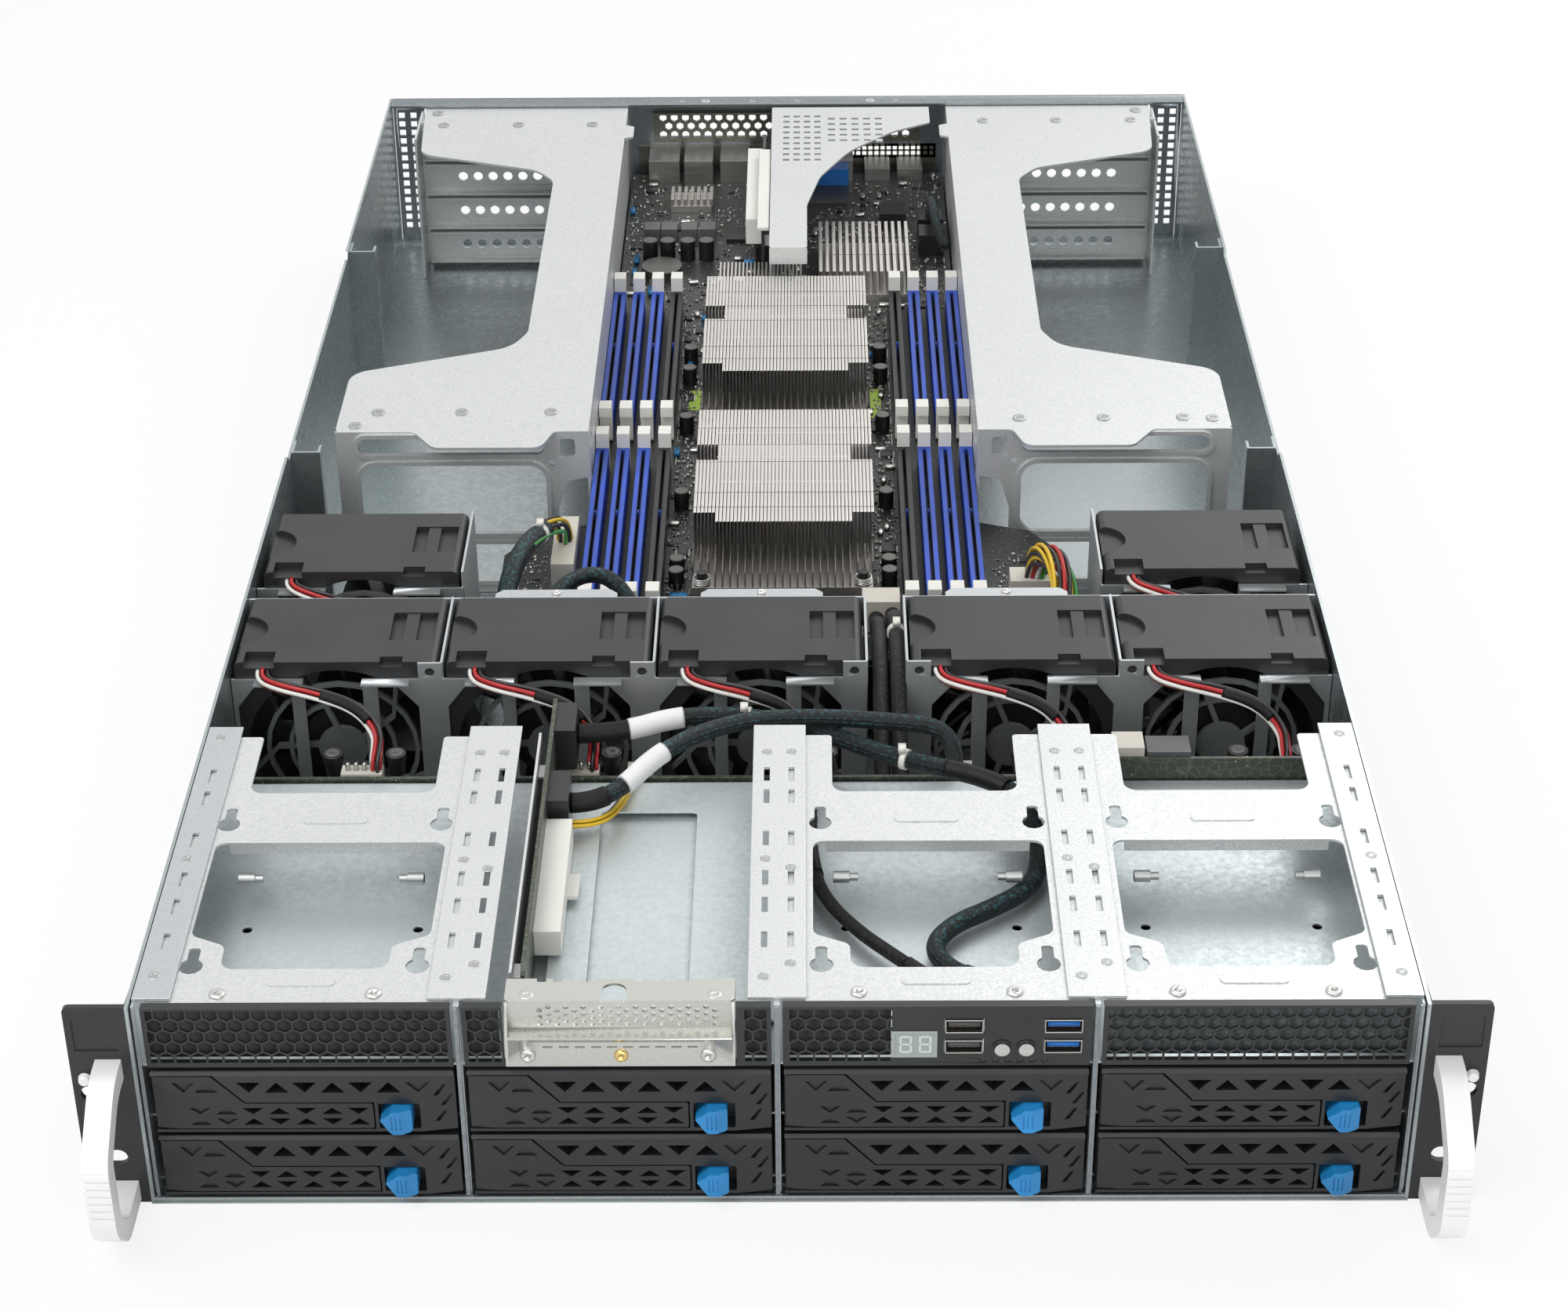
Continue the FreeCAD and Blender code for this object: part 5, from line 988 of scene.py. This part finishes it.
inserts, keys = Bits(), Bits()
slot_top = BOARD_TOP + 13.0
for x in [side * (55.2 + 9.6 * k) for side in (-1, 1) for k in range(4)]:
    for y in MEMORY_Y:
        for a in (-0.95, 0.55):
            inserts.box(x + a, x + a + 0.4, y - 62.5, y + 62.5, BOARD_TOP + 8.0, slot_top + 0.06)
        keys.box(x - 0.8, x + 0.8, y + 6.0, y + 8.0, BOARD_TOP + 5.0, slot_top)
inserts.done("memory_slot_lines", PORT_DARK, "slot_blue")
keys.done("memory_slot_keys", SLOT_BLUE, "slot_blue")

# ---------------------------- rear ports and centre riser

shield = Bits()


def shield_strip(x0, x1, bottom, top):
    """One strip of the port shield; heights are above the board."""
    shield.box(x0, x1, CASE_D - 1.48, CASE_D - 1.22, BOARD_TOP + bottom, BOARD_TOP + top)


low, high = 0.2, 14.4
edge = -83.0
for x, half, bottom, top in ((-68, 6.0, 1.6, 11.4), (-49, 6.0, 1.6, 11.4), (-29, 6.0, 1.6, 11.4),
                             (21, 13.0, 1.4, 10.2), (50, 6.0, 1.2, 6.0), (68, 6.0, 1.2, 6.0)):
    shield_strip(edge, x - half, low, 7.6)
    shield_strip(edge, x - half, 13.0, high)
    if x < 45:
        shield_strip(edge, x - half, 7.6, 13.0)
        shield_strip(x - half, x + half, top, high)
    shield_strip(x - half, x + half, low, bottom)
    edge = x + half
shield_strip(edge, 83.0, low, high)
for bottom, top in ((6.0, 7.8), (10.0, 11.0), (13.0, high)):
    shield_strip(34.0, 83.0, bottom, top)
for k in range(15):
    shield_strip(34.0 + 3.4 * k, 35.2 + 3.4 * k, 6.0, high)
shield.done("port_shield", BLANK, "port_metal")
video = Bits().box(10, 34, CASE_D - 30, CASE_D - 19.5, BOARD_TOP + 0.1, BOARD_TOP + 11.6)
video.done("video_port_back", PORT_BLUE, "slot_blue", width=0.4)
strip = Bits().box(-14.4, -8.4, CASE_D - 168, CASE_D - 68, 82.4, 84.6)
strip.done("riser_edge_strip", WHITE, "white_plastic", width=0.4)

# ---------------------------- cables

riser = bay(1) - 24.4
plug = BOARD_TOP + 13.0
gap_left, gap_right = GAP_X - 3.5, GAP_X + 3.5
routes = {
    "loom_a": ([(riser, 182, 76), (riser + 16, 182, 76), (riser + 40, 190, 79), (riser + 68, 191, 78),
                (riser + 96, 183, 75.5), (riser + 122, 166, 75), (86, 150, 75), (95, 132, 70),
                (97, 112, 66.4), (92, 94, 66.2), (78, 82, 66.4), (62, 72, 66.2), (54, 58, 66.4),
                (62, 43, 66.6), (79, 37, 67.4), (92, 33, 69), (96.9, 22, 69.6), (96.9, 15.0, 69.6)], 3.5),
    "loom_b": ([(riser, 138, 74), (riser + 14, 138, 74), (riser + 34, 162, 82.6), (riser + 62, 180, 83.4),
                (riser + 94, 182, 83.4), (riser + 122, 182, 81), (61, 182, 79), (68, 181, 70),
                (68, 181, 58)], 3.4),
    "gap_a": ([(gap_right, 305.6, 54), (gap_right, 292, 54), (gap_right, 272, 76), (gap_right, 240, 80),
               (gap_right, 210, 72), (gap_right + 0.1, 190, 55), (gap_right + 0.1, 173.6, 55)], 3.2),
    "gap_b": ([(gap_left, 305.6, 52), (gap_left, 290, 52), (gap_left, 270, 74), (gap_left, 238, 78),
               (gap_left, 208, 70), (gap_left + 0.1, 189, 54), (gap_left + 0.1, 173.6, 54)], 3.2),
    "left_loop": ([(-96, 363, plug), (-96, 363, plug + 8), (-101, 350, 72), (-109, 332, 75), (-115, 312, 72),
                   (-117, 293, 63), (-116, 279, 50), (-115, 276.6, 34), (-113, 276.8, 20), (-108, 288, 10),
                   (-98, 297, 8), (-86.4, 297, 8)], 4.0),
    "left_drop": ([(-104, 277.6, 62), (-99, 286, 71), (-86, 299, 78), (-72, 300, 77), (-62, 291, 67),
                   (-57.8, 281, 55), (-57, 276.8, 38), (-56.6, 276.6, 16), (-56.6, 276.6, 1.2)], 3.4),
    "right_loop": ([(109, 332, plug), (109, 332, plug + 8), (113, 322, 74), (117, 308, 76), (119, 294, 70),
                    (118, 281, 58), (116, 276.6, 42), (113, 276.8, 24), (108, 288, 11), (98, 297, 8),
                    (86.4, 297, 8)], 4.0),
    "bay_loom": ([(20.5, 173.6, 56), (20.5, 180, 56), (19, 183, 64), (16, 176, 71), (13, 158, 68.6),
                  (11, 136, 65.6), (12, 112, 65.4), (16, 90, 65.6), (28, 70, 65.4), (42, 54, 65.6),
                  (56, 38, 66), (63.3, 26, 69.6), (63.3, 15.0, 69.6)], 2.5),
    "rear_loom": ([(82.2, 655, 62), (78.6, 668, 67), (77.0, 686, 71), (76.6, 700, 69), (76.5, 709, 63),
                   (76.5, 709, BOARD_TOP + 12.0)], 2.5),
    "riser_power": ([(riser, 131, 69), (-70, 131, 69), (-63, 141, 67), (-58, 156, 67), (-56, 169, 68),
                     (-55, 181, 66), (-55, 181, 58)], 1.8),
}
paths = {key: route(points) for key, (points, _) in routes.items()}
lengths = {key: resampled(path, 1.0)[1] for key, path in paths.items()}
cable("teal_looms", [(paths[k], routes[k][1]) for k in ("loom_a", "loom_b", "left_drop", "rear_loom")], BRAID)
cable("dark_looms", [(paths[k], routes[k][1]) for k in ("gap_a", "gap_b", "bay_loom")], DARK_BRAID)
cable("left_harness_core", [(part_of(paths["left_loop"], 26, 400), 4.2)], BRAID)
bundle(part_of(paths["left_loop"], 0, 44),
       (WIRE_BLACK, YELLOW, WIRE_BLACK, WIRE_GREEN, WIRE_BLACK, YELLOW, WIRE_BLACK), 0.9, 3.0, 0.03)
bundle(paths["right_loop"], (YELLOW, WIRE_BLACK, YELLOW, WIRE_BLACK, RED, WIRE_WHITE, WIRE_GREEN, YELLOW,
                             WIRE_BLACK, RED, WIRE_BLACK, YELLOW), 0.9, 4.0, 0.03)
bundle(paths["riser_power"], (YELLOW, YELLOW, WIRE_BLACK, YELLOW), 0.75, 1.0, 0.02)

sleeves, labels, ties = bmesh.new(), bmesh.new(), bmesh.new()
long_end, bay_end = lengths["loom_a"], lengths["bay_loom"]
for key, start, end, radius in (("loom_a", 0, 22, 3.9), ("loom_b", 0, 14, 3.9),
                                ("loom_a", long_end - 46, long_end - 2, 3.9),
                                ("bay_loom", bay_end - 40, bay_end - 26, 3.0), ("bay_loom", 60, 96, 2.9),
                                ("left_loop", 60, 96, 3.6), ("loom_a", 150, 176, 3.8)):
    sweep(sleeves, part_of(paths[key], start, end), radius, 18)
for key, start, end, radius in (("loom_b", 22, 44, 4.0), ("loom_a", 20, 42, 4.2)):
    sweep(labels, part_of(paths[key], start, end), radius, 20)
for key, start, radius in (("loom_a", 66, 4.1), ("loom_a", 132, 4.1), ("left_loop", 30, 4.4),
                           ("gap_a", 60, 3.9)):
    stretch = part_of(paths[key], start, start + 2.6, 0.65)
    sweep(ties, stretch, radius, 20)
    head = stretch[0] + Vector((0, -1.2, radius + 1.2))
    made = bmesh.ops.create_cube(ties, size=1.0)
    for v in made["verts"]:
        v.co = at(head.x + v.co.x * 3.0, head.y + v.co.y * 3.4, head.z + v.co.z * 2.6)
make("cable_labels", labels, LABEL)
make("cable_ties", ties, WHITE)

fans = [(fan_x(index), FAN_Y) for index in range(5)]
fans += [(fan_x(0) + 1.8, REAR_FAN_Y), (fan_x(4) - 1.8, REAR_FAN_Y)]
for index, (x, y) in enumerate(fans):
    if y == FAN_Y:
        lead = [(x - 29, y, 81.4), (x - 29, y - 6, 81.4), (x - 20, y - 14, 83.0), (x - 4, y - 18, 82),
                (x + 11, y - 21, 78), (x + 19.5, y - 28, 71), (x + 19.6, y - 36, 67.5),
                (x + 19.5, y - 41.6, 66.5), (x + 19.5, y - 41.6, 63.0)]
    else:
        lead = [(x - 29, y, 81.4), (x - 29, y - 5, 81.4), (x - 19, y - 11, 81), (x - 2, y - 12, 76),
                (x + 12, y - 12, 67), (x + 22, y - 12, 52), (x + 24, y - 12, 36), (x + 24, y - 12, 1.2)]
    lead = route(lead)
    bundle(lead, (WIRE_WHITE, BROWN, RED, WIRE_BLACK, RED), 0.82, 1.75, 0.02 + 0.006 * (index % 3))
    length = resampled(lead, 1.0)[1]
    sweep(sleeves, part_of(lead, length * 0.44, length * 0.72), 2.5, 16)
for material, mesh in WIRES.values():
    make(material.name + "_runs", mesh, material, "braided_cables")
make("cable_sleeves", sleeves, SLEEVE)
plugs = Bits()
for index in range(5):
    hx = fan_x(index) + 14.0
    for k in range(4):
        plugs.box(hx - 6.2 + 3.2 * k, hx - 4.6 + 3.2 * k, 176.0, 178.0, 63.0, 66.0)
plugs.done("header_pins", TIN, "port_metal")
